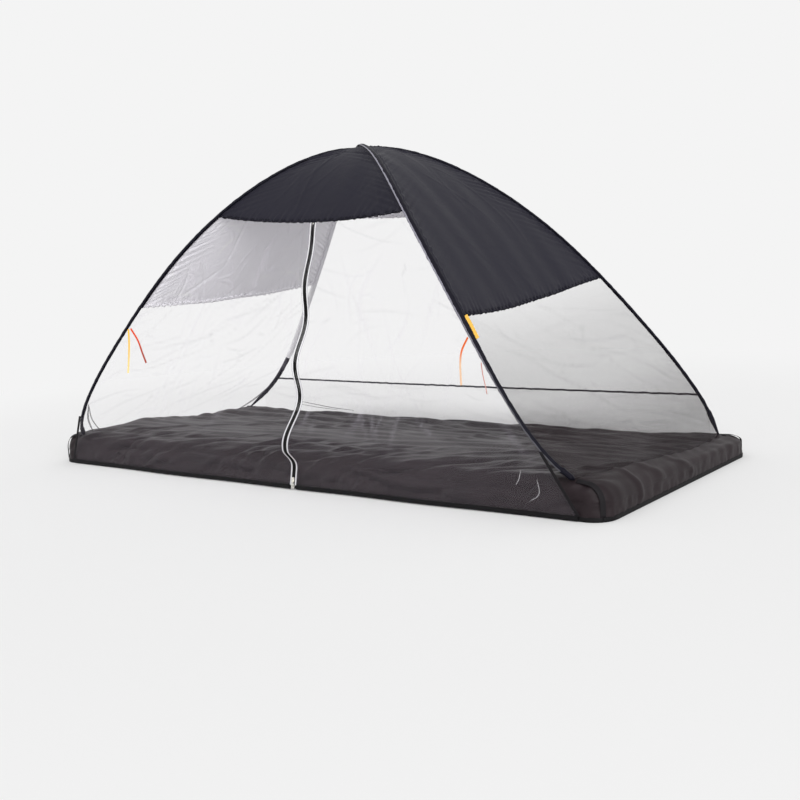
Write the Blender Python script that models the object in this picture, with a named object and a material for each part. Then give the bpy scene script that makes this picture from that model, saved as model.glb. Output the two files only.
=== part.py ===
"""Pop-up bed tent: two sprung rods in sleeves crossing over a fitted base cover.

Metres. +X is the foot end, +Y the back, +Z up. The origin is the middle of the base
cover's lower edge. The tent stands as it does round a mattress, which is left out.
"""

import math

import bmesh
import bpy
from mathutils import Matrix, Vector

# Base cover, the fitted sheet that holds the mattress
BASE_LENGTH = 2.110
BASE_WIDTH = 0.922
BASE_TOP = 0.100
BASE_FALL = 0.036
SEAM_HEIGHT = 0.045
SHOULDER = 0.045
CORNER = 0.058
FLOOR_FOLD = 0.005
SKIRT_SLACK = 0.0015
BINDING_HEIGHT = 0.012
BINDING_THICK = 0.0040

# Rod curve from the apex to a foot, as guide points of a cubic spline. Runs near the
# apex are counted from the middle, the others as insets from the base's edges.
APEX = 0.995
CROWN_RUN = (0.129, 0.110)
BEND_RUN = (0.385, 0.327)
BEND_DROP = 0.182
HIP_INSET = (0.389, 0.018)
HIP_RISE = 0.381
KNEE_INSET = (0.177, -0.052)
KNEE_RISE = 0.093
FOOT_INSET = (0.113, 0.011)
FOOT_RISE = 0.0165

# Rods, tips, sleeves and foot pockets
ROD_RADIUS = 0.0035
ROD_IN_TIP = 0.012
TIP_WALL = 0.0017
SLEEVE_HALF_WIDTH = 0.0095
SLEEVE_WALL = 0.0014
ROD_PLAY = 0.0004
POCKET_WALL = 0.0014
POCKET_TOE_RADIUS = 0.0030
POCKET_DEPTH = 0.0176
HUMP_REACH = 0.060

# Roof panels and their bound hems: where each hem meets its left and right rod, seen from
# outside, as distances from the apex, then how far its middle hangs in, hangs down and
# leans to one side
HEMS = {
    "front": (0.515, 0.555, 0.006, 0.024, 0.0),
    "back": (0.535, 0.535, 0.014, 0.018, 0.0),
    "foot": (0.950, 0.890, 0.011, 0.017, -0.55),
    "head": (0.885, 0.910, 0.009, 0.012, 0.0),
}
HEM_BINDING = 0.012
ROOF_TIP_WIDTH = 0.016

# Net walls. The back seam and the place where the door leaves the sleeve are counted up
# the rod from its foot.
NET_SAG = 0.032
END_NET_SAG = 0.020
END_NET_BULGE = 0.050
BACK_SEAM_UP = 0.0834
DOOR_SPLIT_UP = 0.0774
SEAM_TAPE = 0.008
BACK_FOOT_INSET = 0.013
END_FOOT_INSET = 0.042
ROOF_FOLD = 0.004
NET_FOLD = 0.005
NET_CREASE = 0.004

# Door and zip
ZIP_TOP_X = 0.040
ZIP_FOOT_X = 0.055
ZIP_FOOT_PROUD = 0.017
ZIP_FOOT_Z = 0.014
ZIP_WAVE = 0.030
ZIP_WAVE_END = 0.830
ZIP_WAVE_LENGTH = 0.228
ZIP_WAVE_CREST = 0.145
ZIP_STRAIGHT = 0.060
CHAIN_HALF_WIDTH = 0.0030
CHAIN_THICK = 0.0024
TAPE_EDGE = 0.0125
TAPE_THICK = 0.0008
DOOR_CORNER_INSET = (0.072, -0.0055)
DOOR_SEAM_WIDTH = 0.010
DOOR_HEM_HEIGHT = 0.0115
DOOR_PROUD = 0.006

# Crimped stops, the slider and its two pulls, in the zip's own axes
STOP_HEIGHT = 0.004
SLIDER_UP = 0.016
SLIDER_LENGTH = 0.0140
SLIDER_TOP_WIDTH = 0.0094
SLIDER_MOUTH_WIDTH = 0.0110
SLIDER_PLATE = 0.0010
SLIDER_PLAY = 0.0004
BRIDGE_LENGTH = 0.0100
BRIDGE_WIDTH = 0.0024
BRIDGE_BAR = 0.0012
BRIDGE_ROOM = 0.0034
PULL_BAR_RADIUS = 0.0007
PULL_PLAY = 0.00035
PULL_LENGTH = 0.0260
PULL_WIDTH = 0.0076
PULL_EYE = 0.0068
PULL_THICK = 0.0012
PULL_ARM = 0.0016

# Straps, ties and label. The ties' places are distances down the rod from the apex.
STRAP_WIDTH = 0.014
TIE_WIDTH = 0.006
TIE_THICK = 0.0008
TIE_REACH = {-1: 0.998, 1: 1.020}
TIE_PAIR_STEP = 0.080
TIE_LIFT = 0.0022
LABEL_LENGTH = 0.075
LABEL_WIDTH = 0.015
LABEL_THICK = 0.0008

# Cloth thicknesses and the room between sewn neighbours
ROOF_CLOTH = 0.0014
COVER_CLOTH = 0.0016
NET_CLOTH = 0.0012
HEM_FOLD = 0.0006
WEBBING = 0.0012
SEAM_ROOM = 0.0006
SLEEVE_ROOM = 0.0011
TOUCH = 0.0004

SIDES = {"front": -1, "back": 1, "head": -1, "foot": 1}


def clear_scene():
    for old in list(bpy.data.objects):
        bpy.data.objects.remove(old, do_unlink=True)


def material(name, hex_colour, roughness, metallic=0.0):
    """A Principled material from an sRGB hex colour."""
    found = bpy.data.materials.get(name)
    if found:
        return found
    made = bpy.data.materials.new(name)
    made.use_nodes = True
    shader = made.node_tree.nodes["Principled BSDF"]
    channels = [int(hex_colour[k:k + 2], 16) / 255 for k in (0, 2, 4)]
    linear = [c / 12.92 if c <= 0.04045 else ((c + 0.055) / 1.055) ** 2.4 for c in channels]
    shader.inputs["Base Color"].default_value = (*linear, 1.0)
    shader.inputs["Roughness"].default_value = roughness
    shader.inputs["Metallic"].default_value = metallic
    made.diffuse_color = (*linear, 1.0)
    return made


def roof_polyester():
    return material("roof_polyester", "3C3A42", 0.6)


def cover_polyester():
    return material("cover_polyester", "2A282B", 0.5)


def sleeve_polyester():
    return material("sleeve_polyester", "222130", 0.6)


def netting():
    return material("netting", "D8D5DA", 0.8)


def zip_tape():
    return material("zip_tape", "B4B2B8", 0.8)


def zip_nylon():
    return material("zip_nylon", "0B0B0D", 0.4)


def nickel():
    return material("nickel_plate", "C9C9CC", 0.3, 1.0)


def fibreglass():
    return material("fibreglass_rod", "E6E2D6", 0.35)


def black_nylon():
    return material("black_nylon", "1A1A1C", 0.5)


def finish_object(name, mesh, finish, smooth_angle=40):
    """Put a mesh in the scene as a named object with its material."""
    mesh.materials.append(finish)
    mesh.shade_smooth()
    mesh.set_sharp_from_angle(angle=math.radians(smooth_angle))
    made = bpy.data.objects.new(name, mesh)
    bpy.context.scene.collection.objects.link(made)
    return made


def mesh_from(name, points, faces):
    """A mesh whose faces are turned to point out."""
    mesh = bpy.data.meshes.new(name)
    mesh.from_pydata([tuple(p) for p in points], [], faces)
    work = bmesh.new()
    work.from_mesh(mesh)
    bmesh.ops.recalc_face_normals(work, faces=work.faces)
    work.to_mesh(mesh)
    work.free()
    return mesh


def sheet(name, grid, thickness, finish):
    """A cloth panel: a grid of middle-surface points, thickened both ways."""
    rows = len(grid)
    columns = len(grid[0])
    points = [p for row in grid for p in row]
    faces = []
    for i in range(rows - 1):
        for j in range(columns - 1):
            a = i * columns + j
            faces.append((a, a + columns, a + columns + 1, a + 1))
    mesh = bpy.data.meshes.new(name)
    mesh.from_pydata([tuple(p) for p in points], [], faces)
    made = finish_object(name, mesh, finish)
    solid = made.modifiers.new("cloth thickness", "SOLIDIFY")
    solid.thickness = thickness
    solid.offset = 0.0
    return made


def skin_rings(rings, closed_start=True, closed_end=True):
    """Faces that join rings of equal count, with flat ends where asked."""
    count = len(rings[0])
    points = [p for ring in rings for p in ring]
    faces = []
    for i in range(len(rings) - 1):
        for j in range(count):
            k = (j + 1) % count
            a = i * count
            faces.append((a + j, a + k, a + count + k, a + count + j))
    if closed_start:
        faces.append(tuple(range(count)))
    if closed_end:
        last = (len(rings) - 1) * count
        faces.append(tuple(reversed(range(last, last + count))))
    return points, faces


def rod_like(name, rings, finish, smooth_angle=50):
    """A solid bar through its rings."""
    points, faces = skin_rings(rings)
    return finish_object(name, mesh_from(name, points, faces), finish, smooth_angle)


def pipe_like(name, outer, inner, finish, blind=False):
    """A tube: outer rings, then inner rings back. A blind one has a closed far end."""
    if not blind:
        loop = outer + list(reversed(inner))
        points, faces = skin_rings(loop + [loop[0]], False, False)
        count = len(outer[0])
        total = len(points) - count
        faces = [tuple(v if v < total else v - total for v in face) for face in faces]
        points = points[:total]
    else:
        points, faces = skin_rings(list(reversed(outer)) + inner)
    return finish_object(name, mesh_from(name, points, faces), finish, 50)


def ellipse_ring(centre, across, up, half_width, half_height, count=8):
    ring = []
    for k in range(count):
        turn = 2 * math.pi * k / count
        sideways = across * (half_width * math.cos(turn))
        ring.append(centre + sideways + up * (half_height * math.sin(turn)))
    return ring


def flat_ring(centre, across, up, half_width, half_height):
    return [
        centre - across * half_width - up * half_height,
        centre + across * half_width - up * half_height,
        centre + across * half_width + up * half_height,
        centre - across * half_width + up * half_height,
    ]


def smooth_step(value):
    value = min(max(value, 0.0), 1.0)
    return value * value * (3 - 2 * value)


# Rod curve


def in_from_edges(inset, height):
    return Vector((BASE_LENGTH / 2 - inset[0], BASE_WIDTH / 2 - inset[1], height))


GUIDES = [
    Vector((0.0, 0.0, APEX)),
    Vector((CROWN_RUN[0], CROWN_RUN[1], APEX)),
    Vector((BEND_RUN[0], BEND_RUN[1], APEX - BEND_DROP)),
    in_from_edges(HIP_INSET, BASE_TOP + HIP_RISE),
    in_from_edges(KNEE_INSET, BASE_TOP + KNEE_RISE),
    in_from_edges(FOOT_INSET, BASE_TOP + FOOT_RISE),
]
KNOTS = [0, 0, 0, 0, 1, 2, 3, 3, 3, 3]


def spline_at(t):
    """A point of the clamped cubic spline, t from 0 to 3, by de Boor's rule."""
    span = min(int(t), 2) + 3
    work = [GUIDES[span - 3 + k].copy() for k in range(4)]
    for level in range(1, 4):
        for k in range(3, level - 1, -1):
            low = KNOTS[span - 3 + k]
            high = KNOTS[span + 1 + k - level]
            share = (t - low) / (high - low)
            work[k] = work[k - 1] * (1 - share) + work[k] * share
    return work[3]


CURVE_STEPS = 600
CURVE = [spline_at(3 * k / CURVE_STEPS) for k in range(CURVE_STEPS + 1)]
CURVE_REACH = [0.0]
for before, after in zip(CURVE, CURVE[1:]):
    CURVE_REACH.append(CURVE_REACH[-1] + (after - before).length)
ARM_LENGTH = CURVE_REACH[-1]
BACK_SEAM = ARM_LENGTH - BACK_SEAM_UP
SPLIT = ARM_LENGTH - DOOR_SPLIT_UP


def quarter_point(reach):
    """The rod's middle at a distance along it, in the back foot-end quarter.
    Past its foot the line runs straight on."""
    if reach > ARM_LENGTH:
        return CURVE[-1] + (CURVE[-1] - CURVE[-2]).normalized() * (reach - ARM_LENGTH)
    reach = max(reach, 0.0)
    low = 0
    high = CURVE_STEPS
    while high - low > 1:
        middle = (low + high) // 2
        if CURVE_REACH[middle] <= reach:
            low = middle
        else:
            high = middle
    share = (reach - CURVE_REACH[low]) / (CURVE_REACH[high] - CURVE_REACH[low])
    return CURVE[low].lerp(CURVE[high], share)


SLEEVE_BORE_HEIGHT = ROD_RADIUS + ROD_PLAY
SLEEVE_HALF_HEIGHT = SLEEVE_BORE_HEIGHT + SLEEVE_WALL
SLEEVE_BORE_WIDTH = SLEEVE_HALF_WIDTH - SLEEVE_WALL
HUMP = 2 * SLEEVE_HALF_HEIGHT + TOUCH


def arm_point(end, side, reach):
    """A point on one of the four arms. The front-right and back-left arm ride over."""
    point = quarter_point(reach)
    over = 1 if end * side < 0 else -1
    run = math.hypot(point.x, point.y)
    lift = over * HUMP / 2 * math.exp(-(run / HUMP_REACH) ** 2)
    return Vector((end * point.x, side * point.y, point.z + lift))


def arm_frame(end, side, reach):
    """Along the arm towards its foot, across it, and out from the tent."""
    step = 0.002
    low = max(reach - step, 0.0)
    high = reach + step
    along = (arm_point(end, side, high) - arm_point(end, side, low)).normalized()
    if reach < step:
        along = Vector((end * CROWN_RUN[0], side * CROWN_RUN[1], 0.0)).normalized()
    side_wall = Vector((1, 0, 0)).cross(along)
    side_wall *= 1 if side_wall.y * side + side_wall.z > 0 else -1
    end_wall = Vector((0, 1, 0)).cross(along)
    end_wall *= 1 if end_wall.x * end + end_wall.z > 0 else -1
    out = (side_wall.normalized() + end_wall.normalized()).normalized()
    across = out.cross(along).normalized()
    return along, across, out


def sleeve_side(end, side, reach, towards):
    """Where a panel starts beside a sleeve: clear of it, in the panel's direction."""
    along, across, out = arm_frame(end, side, reach)
    flat = towards - along * towards.dot(along)
    lean = flat.length
    a = flat.dot(across) / lean
    b = flat.dot(out) / lean
    radius = 1 / math.sqrt((a / SLEEVE_HALF_WIDTH) ** 2 + (b / SLEEVE_HALF_HEIGHT) ** 2)
    if reach > ARM_LENGTH - 0.001:
        radius = max(radius, POCKET_RADIUS)
    return arm_point(end, side, reach) + towards * ((radius + SLEEVE_ROOM) / lean)


# Base cover shape


def cover_inset(x, y):
    """How far a plan point lies inside the cover's outline."""
    over_x = abs(x) - (BASE_LENGTH / 2 - CORNER)
    over_y = abs(y) - (BASE_WIDTH / 2 - CORNER)
    if over_x > 0 and over_y > 0:
        return CORNER - math.hypot(over_x, over_y)
    return CORNER - max(over_x, over_y)


def cover_height(x, y):
    """The middle of the cover's cloth over the mattress, before its folds. The soft
    mattress lies lower along the back."""
    top = cover_top(y)
    share = min(max(cover_inset(x, y) / SHOULDER, 0.0), 1.0)
    return SEAM_HEIGHT + (top - SEAM_HEIGHT) * math.sqrt(1 - (1 - share) ** 2)


def cover_top(y):
    return BASE_TOP - COVER_CLOTH / 2 - BASE_FALL * smooth_step((y + 0.24) / 0.64)


def cover_fold(x, y):
    """Long soft folds that the mattress top leaves in the loose cloth."""
    inset = cover_inset(x, y)
    fade = smooth_step((inset - 0.090) / 0.120)
    lengthwise = math.sin(11.0 * y + 1.7 * math.sin(2.1 * x + 0.4))
    slanted = math.sin(7.3 * x - 15.0 * y + 0.9)
    return FLOOR_FOLD * fade * (0.62 * lengthwise + 0.38 * slanted)


def outline_point(turn_share):
    """The cover's rounded outline, counter-clockwise: the point and its outward side."""
    half_x = BASE_LENGTH / 2 - CORNER
    half_y = BASE_WIDTH / 2 - CORNER
    corner, share = divmod(turn_share, 1.0)
    start = int(corner) % 4
    signs = ((1, 1), (-1, 1), (-1, -1), (1, -1))[start]
    turn = math.pi / 2 * (start + share)
    centre = Vector((signs[0] * half_x, signs[1] * half_y, 0))
    out = Vector((math.cos(turn), math.sin(turn), 0))
    return centre + out * CORNER, out


def side_outline(face, count):
    """Half a corner, a straight run and half a corner of the cover's outline."""
    middle = {"front": 3, "foot": 4, "back": 1, "head": 2}[face]
    corner_steps = 3
    second = [outline_point(middle + 0.5 * k / corner_steps) for k in range(corner_steps + 1)]
    first = [outline_point(middle - 0.5 + 0.5 * k / corner_steps) for k in range(corner_steps)]
    end, out = second[0]
    along = Vector((-out.y, out.x, 0))
    run = (BASE_LENGTH if face in ("front", "back") else BASE_WIDTH) - 2 * CORNER
    straight = [(end - along * (run * (1 - k / count)), out) for k in range(count)]
    return first + straight + second


def build_floor():
    """The cover's top, with its rounded shoulders, on a grid drawn in at the corners."""
    near_edge = [0.0, 0.004, 0.016, 0.045, 0.085]
    half_x = BASE_LENGTH / 2
    half_y = BASE_WIDTH / 2

    def lines(half, middle_steps):
        inner = half - CORNER * 1.15
        rim = [-half + d * CORNER / 0.085 for d in near_edge[:-1]]
        body = [-inner + 2 * inner * k / middle_steps for k in range(middle_steps + 1)]
        return rim + body + [-v for v in reversed(rim)]

    grid = []
    for y in lines(half_y, 7):
        row = []
        for x in lines(half_x, 14):
            over_x = (abs(x) - (half_x - CORNER)) / CORNER
            over_y = (abs(y) - (half_y - CORNER)) / CORNER
            px = x
            py = y
            if over_x > 0 and over_y > 0:
                disc_x = over_x * math.sqrt(1 - over_y ** 2 / 2)
                disc_y = over_y * math.sqrt(1 - over_x ** 2 / 2)
                px = math.copysign(half_x - CORNER + CORNER * disc_x, x)
                py = math.copysign(half_y - CORNER + CORNER * disc_y, y)
            row.append(Vector((px, py, cover_height(px, py) + cover_fold(px, py))))
        grid.append(row)
    sheet("floor_panel", grid, COVER_CLOTH, cover_polyester())


def build_skirt(face):
    """A side of the cover: hangs from the shoulder seam to its bound lower edge."""
    top = SEAM_HEIGHT - SEAM_ROOM
    bottom = BINDING_HEIGHT + SEAM_ROOM
    heights = [top, (top * 0.5 + bottom * 0.5), bottom]
    path = side_outline(face, 10 if face in ("front", "back") else 5)
    trimmed = trim_path(path, SEAM_ROOM)
    grid = []
    for level, z in enumerate(heights):
        row = []
        for k, (point, out) in enumerate(trimmed):
            slack = SKIRT_SLACK * abs(math.sin(1.9 * k + level)) if level == 1 else 0.0
            row.append(Vector((point.x, point.y, z)) - out * slack)
        grid.append(row)
    sheet("skirt_" + face, grid, COVER_CLOTH, cover_polyester())


def trim_path(path, room):
    """Draw a path's two ends in by half the room between neighbours."""
    ends = []
    for (point, out), (neighbour, _) in ((path[0], path[1]), (path[-1], path[-2])):
        ends.append((point + (neighbour - point).normalized() * (room / 2), out))
    return [ends[0]] + path[1:-1] + [ends[1]]


def build_base_binding(face):
    """The bound lower edge, on which the tent stands."""
    path = trim_path(side_outline(face, 5), SEAM_ROOM)
    rings = []
    for point, out in path:
        centre = Vector((point.x, point.y, BINDING_HEIGHT / 2))
        up = Vector((0, 0, 1))
        rings.append(flat_ring(centre, out, up, BINDING_THICK / 2, BINDING_HEIGHT / 2))
    rod_like("base_binding_" + face, rings, cover_polyester(), 30)


# Rods, sleeves, tips and pockets


def sleeve_stations():
    """Distances along an arm for its rings, close together at the crossing and the foot."""
    near = [0.0, 0.012, 0.025, 0.040, 0.058, 0.080, 0.110, 0.150]
    knee = ARM_LENGTH - 0.280
    middle = [near[-1] + (knee - near[-1]) * (k + 1) / 12 for k in range(12)]
    return near + middle + [knee + 0.040 * (k + 1) for k in range(7)]


def pole_arms(pole):
    """The two arms of a pole, as end and side signs."""
    return ((-1, -1), (1, 1)) if pole == "lower" else ((1, -1), (-1, 1))


def pole_rings(pole, half_width, half_height, count=8):
    first, second = pole_arms(pole)
    rings = []
    for reach in reversed(sleeve_stations()[1:]):
        along, across, out = arm_frame(*first, reach)
        centre = arm_point(*first, reach)
        rings.append(ellipse_ring(centre, -across, out, half_width, half_height, count))
    for reach in sleeve_stations():
        along, across, out = arm_frame(*second, reach)
        centre = arm_point(*second, reach)
        rings.append(ellipse_ring(centre, across, out, half_width, half_height, count))
    return rings


def build_sleeve(pole):
    """A tape sewn into a flat tube round the rod, open at both feet."""
    outer = pole_rings(pole, SLEEVE_HALF_WIDTH, SLEEVE_HALF_HEIGHT)
    inner = pole_rings(pole, SLEEVE_BORE_WIDTH, SLEEVE_BORE_HEIGHT)
    pipe_like("sleeve_" + pole, outer, inner, sleeve_polyester())


TIP_RADIUS = ROD_RADIUS + ROD_PLAY + TIP_WALL
POCKET_BORE = TIP_RADIUS + TOUCH
POCKET_RADIUS = POCKET_BORE + POCKET_WALL


def pocket_profile(length):
    """Distance past the sleeve and radius of a foot pocket's outside."""
    bore_end = POCKET_DEPTH + 0.0016
    return [
        (SEAM_ROOM, POCKET_RADIUS),
        (bore_end, POCKET_RADIUS),
        ((bore_end + length) / 2, (POCKET_RADIUS + POCKET_TOE_RADIUS) / 2),
        (length, POCKET_TOE_RADIUS),
    ]


def pocket_rings(end, side, profile, count=8):
    along, across, out = arm_frame(end, side, ARM_LENGTH)
    foot = arm_point(end, side, ARM_LENGTH)
    return [ellipse_ring(foot + along * far, across, out, r, r, count) for far, r in profile]


def pocket_clearance(side, length):
    """The least height of a pocket's rings over the cover."""
    least = 1.0
    for ring in pocket_rings(1, side, pocket_profile(length)):
        for p in ring:
            least = min(least, p.z - cover_height(p.x, p.y) - COVER_CLOTH / 2)
    return least


def seated_pocket_length(side):
    """The length at which a pocket's toe just meets the cover."""
    low = POCKET_DEPTH + 0.004
    high = 0.110
    for _ in range(40):
        middle = (low + high) / 2
        if pocket_clearance(side, middle) > TOUCH:
            low = middle
        else:
            high = middle
    return low


POCKET_LENGTHS = {side: seated_pocket_length(side) for side in (-1, 1)}
TIP_START = SEAM_ROOM
TIP_END = POCKET_DEPTH - TOUCH


def build_rod(pole):
    """A sprung fibreglass rod from toe to toe, loose in its sleeve."""
    rings = pole_rings(pole, ROD_RADIUS, ROD_RADIUS)
    first, second = pole_arms(pole)
    reach = min(ROD_IN_TIP, TIP_END - TIP_WALL - TOUCH)
    toes = []
    for arm, turn in ((first, -1), (second, 1)):
        along, across, out = arm_frame(*arm, ARM_LENGTH)
        toe = arm_point(*arm, ARM_LENGTH) + along * reach
        toes.append(ellipse_ring(toe, across * turn, out, ROD_RADIUS, ROD_RADIUS))
    rod_like("rod_" + pole, [toes[0]] + rings + [toes[1]], fibreglass())


def build_tip(end, side, name):
    """A moulded cap that keeps the rod's end from wearing through the pocket."""
    profile = [(TIP_START, TIP_RADIUS), (TIP_END - 0.002, TIP_RADIUS), (TIP_END, TIP_RADIUS * 0.7)]
    outer = pocket_rings(end, side, profile)
    bore = ROD_RADIUS + ROD_PLAY
    floor = TIP_END - TIP_WALL
    inner = pocket_rings(end, side, [(TIP_START, bore), (floor, bore)])
    pipe_like("rod_tip_" + name, outer, inner, black_nylon(), blind=True)


def build_pocket(end, side, name):
    """A doubled-cloth pocket that holds the rod's tip on the cover's corner."""
    outer = pocket_rings(end, side, pocket_profile(POCKET_LENGTHS[side]))
    inner = pocket_rings(end, side, [(SEAM_ROOM, POCKET_BORE), (POCKET_DEPTH, POCKET_BORE * 0.98)])
    pipe_like("foot_pocket_" + name, outer, inner, sleeve_polyester(), blind=True)


def on_cover(plan, lift):
    """A place over the cover's shoulder above a plan point, and the way out from it."""
    over_x = abs(plan.x) - (BASE_LENGTH / 2 - CORNER)
    over_y = abs(plan.y) - (BASE_WIDTH / 2 - CORNER)
    away = Vector((max(over_x, 0.0), max(over_y, 0.0), 0)).normalized()
    flat = Vector((math.copysign(away.x, plan.x), math.copysign(away.y, plan.y), 0))
    lean = 1 - min(max(cover_inset(plan.x, plan.y) / SHOULDER, 0.0), 1.0)
    rise = cover_top(plan.y) - SEAM_HEIGHT
    normal = (flat * (lean * rise) + Vector((0, 0, math.sqrt(1 - lean * lean) * SHOULDER))).normalized()
    return Vector((plan.x, plan.y, cover_height(plan.x, plan.y))) + normal * lift, normal


def build_corner_strap(end, side, name):
    """Webbing from the foot pocket over the corner to the cover's lower edge."""
    lift = COVER_CLOTH / 2 + TOUCH + WEBBING / 2
    toe = arm_point(end, side, ARM_LENGTH + POCKET_LENGTHS[side])
    hub = Vector((end * (BASE_LENGTH / 2 - CORNER), side * (BASE_WIDTH / 2 - CORNER), 0))
    rim = hub + Vector((end, side, 0)).normalized() * CORNER
    start = toe.lerp(rim, 0.008 / math.hypot(toe.x - rim.x, toe.y - rim.y))
    steps = 9
    path = []
    for k in range(steps + 1):
        plan = start.lerp(rim, math.sin(math.pi / 2 * k / steps))
        path.append(on_cover(plan, lift))
    low, normal = path[-1]
    path.append((Vector((low.x, low.y, BINDING_HEIGHT + SEAM_ROOM)), normal))
    rings = []
    for k, (point, normal) in enumerate(path):
        before = path[max(k - 1, 0)][0]
        after = path[min(k + 1, len(path) - 1)][0]
        along = (after - before).normalized()
        across = along.cross(normal).normalized()
        square = across.cross(along).normalized()
        rings.append(flat_ring(point, across, square, STRAP_WIDTH / 2, WEBBING / 2))
    rod_like("corner_strap_" + name, rings, sleeve_polyester(), 30)


# Panels between the arms

ARMS_OF = {
    "front": ((-1, -1), (1, -1)),
    "foot": ((1, -1), (1, 1)),
    "back": ((1, 1), (-1, 1)),
    "head": ((-1, 1), (-1, -1)),
}


def row_edges(face, left_reach, right_reach):
    """Both ends of a panel's row, clear of the two sleeves."""
    left, right = ARMS_OF[face]
    a = arm_point(*left, left_reach)
    b = arm_point(*right, right_reach)
    towards = (b - a).normalized()
    return sleeve_side(*left, left_reach, towards), sleeve_side(*right, right_reach, -towards)


def arm_reaches(face, share):
    """Distances along both arms at a share of the way from the apex to the hem."""
    return share * HEMS[face][0], share * HEMS[face][1]


def hem_hang(face, u):
    """How the middle of a hem hangs off the line between its ends."""
    inward, down, lean = HEMS[face][2:]
    slack = 1 - u * u
    off = Vector((0, 0, -down * (1 + lean * u)))
    if face in ("front", "back"):
        off.y = -SIDES[face] * inward
    else:
        off.x = -SIDES[face] * inward
    return off * slack


def roof_point(face, share, u):
    """The roof panel's middle surface: u runs from -1 to 1 along a row."""
    left, right = row_edges(face, *arm_reaches(face, share))
    point = left.lerp(right, (u + 1) / 2) + hem_hang(face, u) * share ** 2
    if face in ("front", "back"):
        return point
    fold = ROOF_FOLD * math.sin(9 * u + 5 * share) * (1 - u * u) * share
    return point + Vector((-SIDES[face] * 0.6, 0, -0.8)) * fold


def roof_start(face):
    """The share of the way to the hem at which the panel is wide enough to cut."""
    share = 0.02
    while share < 1:
        reaches = arm_reaches(face, share)
        left, right = row_edges(face, *reaches)
        a, b = ARMS_OF[face]
        span = arm_point(*b, reaches[1]) - arm_point(*a, reaches[0])
        if (right - left).dot(span) > 0 and (right - left).length > ROOF_TIP_WIDTH:
            return share
        share += 0.002
    return share


def hem_length(face):
    return (HEMS[face][0] + HEMS[face][1]) / 2


def build_roof(face):
    """A cut roof panel, sewn to both sleeves and bound along its hem."""
    start = roof_start(face)
    stop = 1 - (HEM_BINDING + SEAM_ROOM) / hem_length(face)
    rows = 9 if face in ("front", "back") else 13
    columns = 16
    grid = []
    for i in range(rows + 1):
        share = start + (stop - start) * (i / rows) ** 1.25
        grid.append([roof_point(face, share, -1 + 2 * j / columns) for j in range(columns + 1)])
    sheet("roof_" + face, grid, ROOF_CLOTH, roof_polyester())
    hem = []
    for share in (1 - HEM_BINDING / hem_length(face), 1.0):
        hem.append([roof_point(face, share, -1 + 2 * j / columns) for j in range(columns + 1)])
    sheet("hem_binding_" + face, hem, ROOF_CLOTH + HEM_FOLD, sleeve_polyester())


def build_end_net(face):
    """The net wall at the head or foot end, from the roof's hem to the cover."""
    rows = 9
    columns = 12
    left_hem, right_hem = arm_reaches(face, 1.0)
    room = SEAM_ROOM
    end = SIDES[face]
    grid = []
    for i in range(rows):
        share = 1 - (1 - i / (rows - 1)) ** 1.5
        left_reach = left_hem + room + (ARM_LENGTH - left_hem - room) * share
        right_reach = right_hem + room + (ARM_LENGTH - right_hem - room) * share
        left, right = row_edges(face, left_reach, right_reach)
        row = []
        for j in range(columns + 1):
            u = even_ends(j, columns)
            slack = 1 - u * u
            sag = END_NET_SAG * math.sin(math.pi * share)
            bulge = END_NET_BULGE * share ** 3
            point = left.lerp(right, (u + 1) / 2) + hem_hang(face, u) * (1 - share)
            point += Vector((-end * 0.6 * sag + end * bulge, 0, -0.8 * sag)) * slack
            pleat = math.sin(math.pi * share) * slack * math.sin(14 * u + 6 * share)
            point += Vector((end * 0.7, 0, 0.7)) * (NET_CREASE * pleat)
            row.append(point)
        grid.append(row)
    grid.append(foot_row(face, columns))
    sheet("net_" + face, grid, NET_CLOTH, netting())


def even_ends(j, columns):
    """A share from -1 to 1 across a row, closer together towards its ends."""
    return math.sin(math.pi / 2 * (-1 + 2 * j / columns))


def foot_row(face, columns):
    """The line on the cover where a net wall is sewn down."""
    ends = face in ("head", "foot")
    toes = [ARM_LENGTH + (POCKET_LENGTHS[side] if ends else 0.0) for end, side in ARMS_OF[face]]
    left, right = row_edges(face, *toes)
    row = []
    for j in range(columns + 1):
        u = even_ends(j, columns) if ends else -1 + 2 * j / columns
        point = left.lerp(right, (u + 1) / 2)
        reach = (1 - u * u) ** 0.7
        if ends:
            target = SIDES[face] * (BASE_LENGTH / 2 - END_FOOT_INSET)
            point.x += (target - point.x) * reach
        else:
            target = SIDES[face] * (BASE_WIDTH / 2 - BACK_FOOT_INSET)
            point.y += (target - point.y) * reach
        point.z = cover_height(point.x, point.y) + COVER_CLOTH / 2 + TOUCH + NET_CLOTH * 0.45
        row.append(point)
    return row


def back_point(reach, u):
    """The back net's middle surface between the hem and the cover."""
    left, right = row_edges("back", reach, reach)
    hem = HEMS["back"][0]
    share = (reach - hem) / (ARM_LENGTH - hem)
    slack = 1 - u * u
    inward = NET_SAG * math.sin(math.pi * share)
    point = left.lerp(right, (u + 1) / 2) + hem_hang("back", u) * (1 - share)
    wave = math.sin(math.pi * share) * slack * math.sin(10 * u + 8 * share)
    return point + Vector((0, NET_FOLD * wave - inward * slack, 0))


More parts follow.
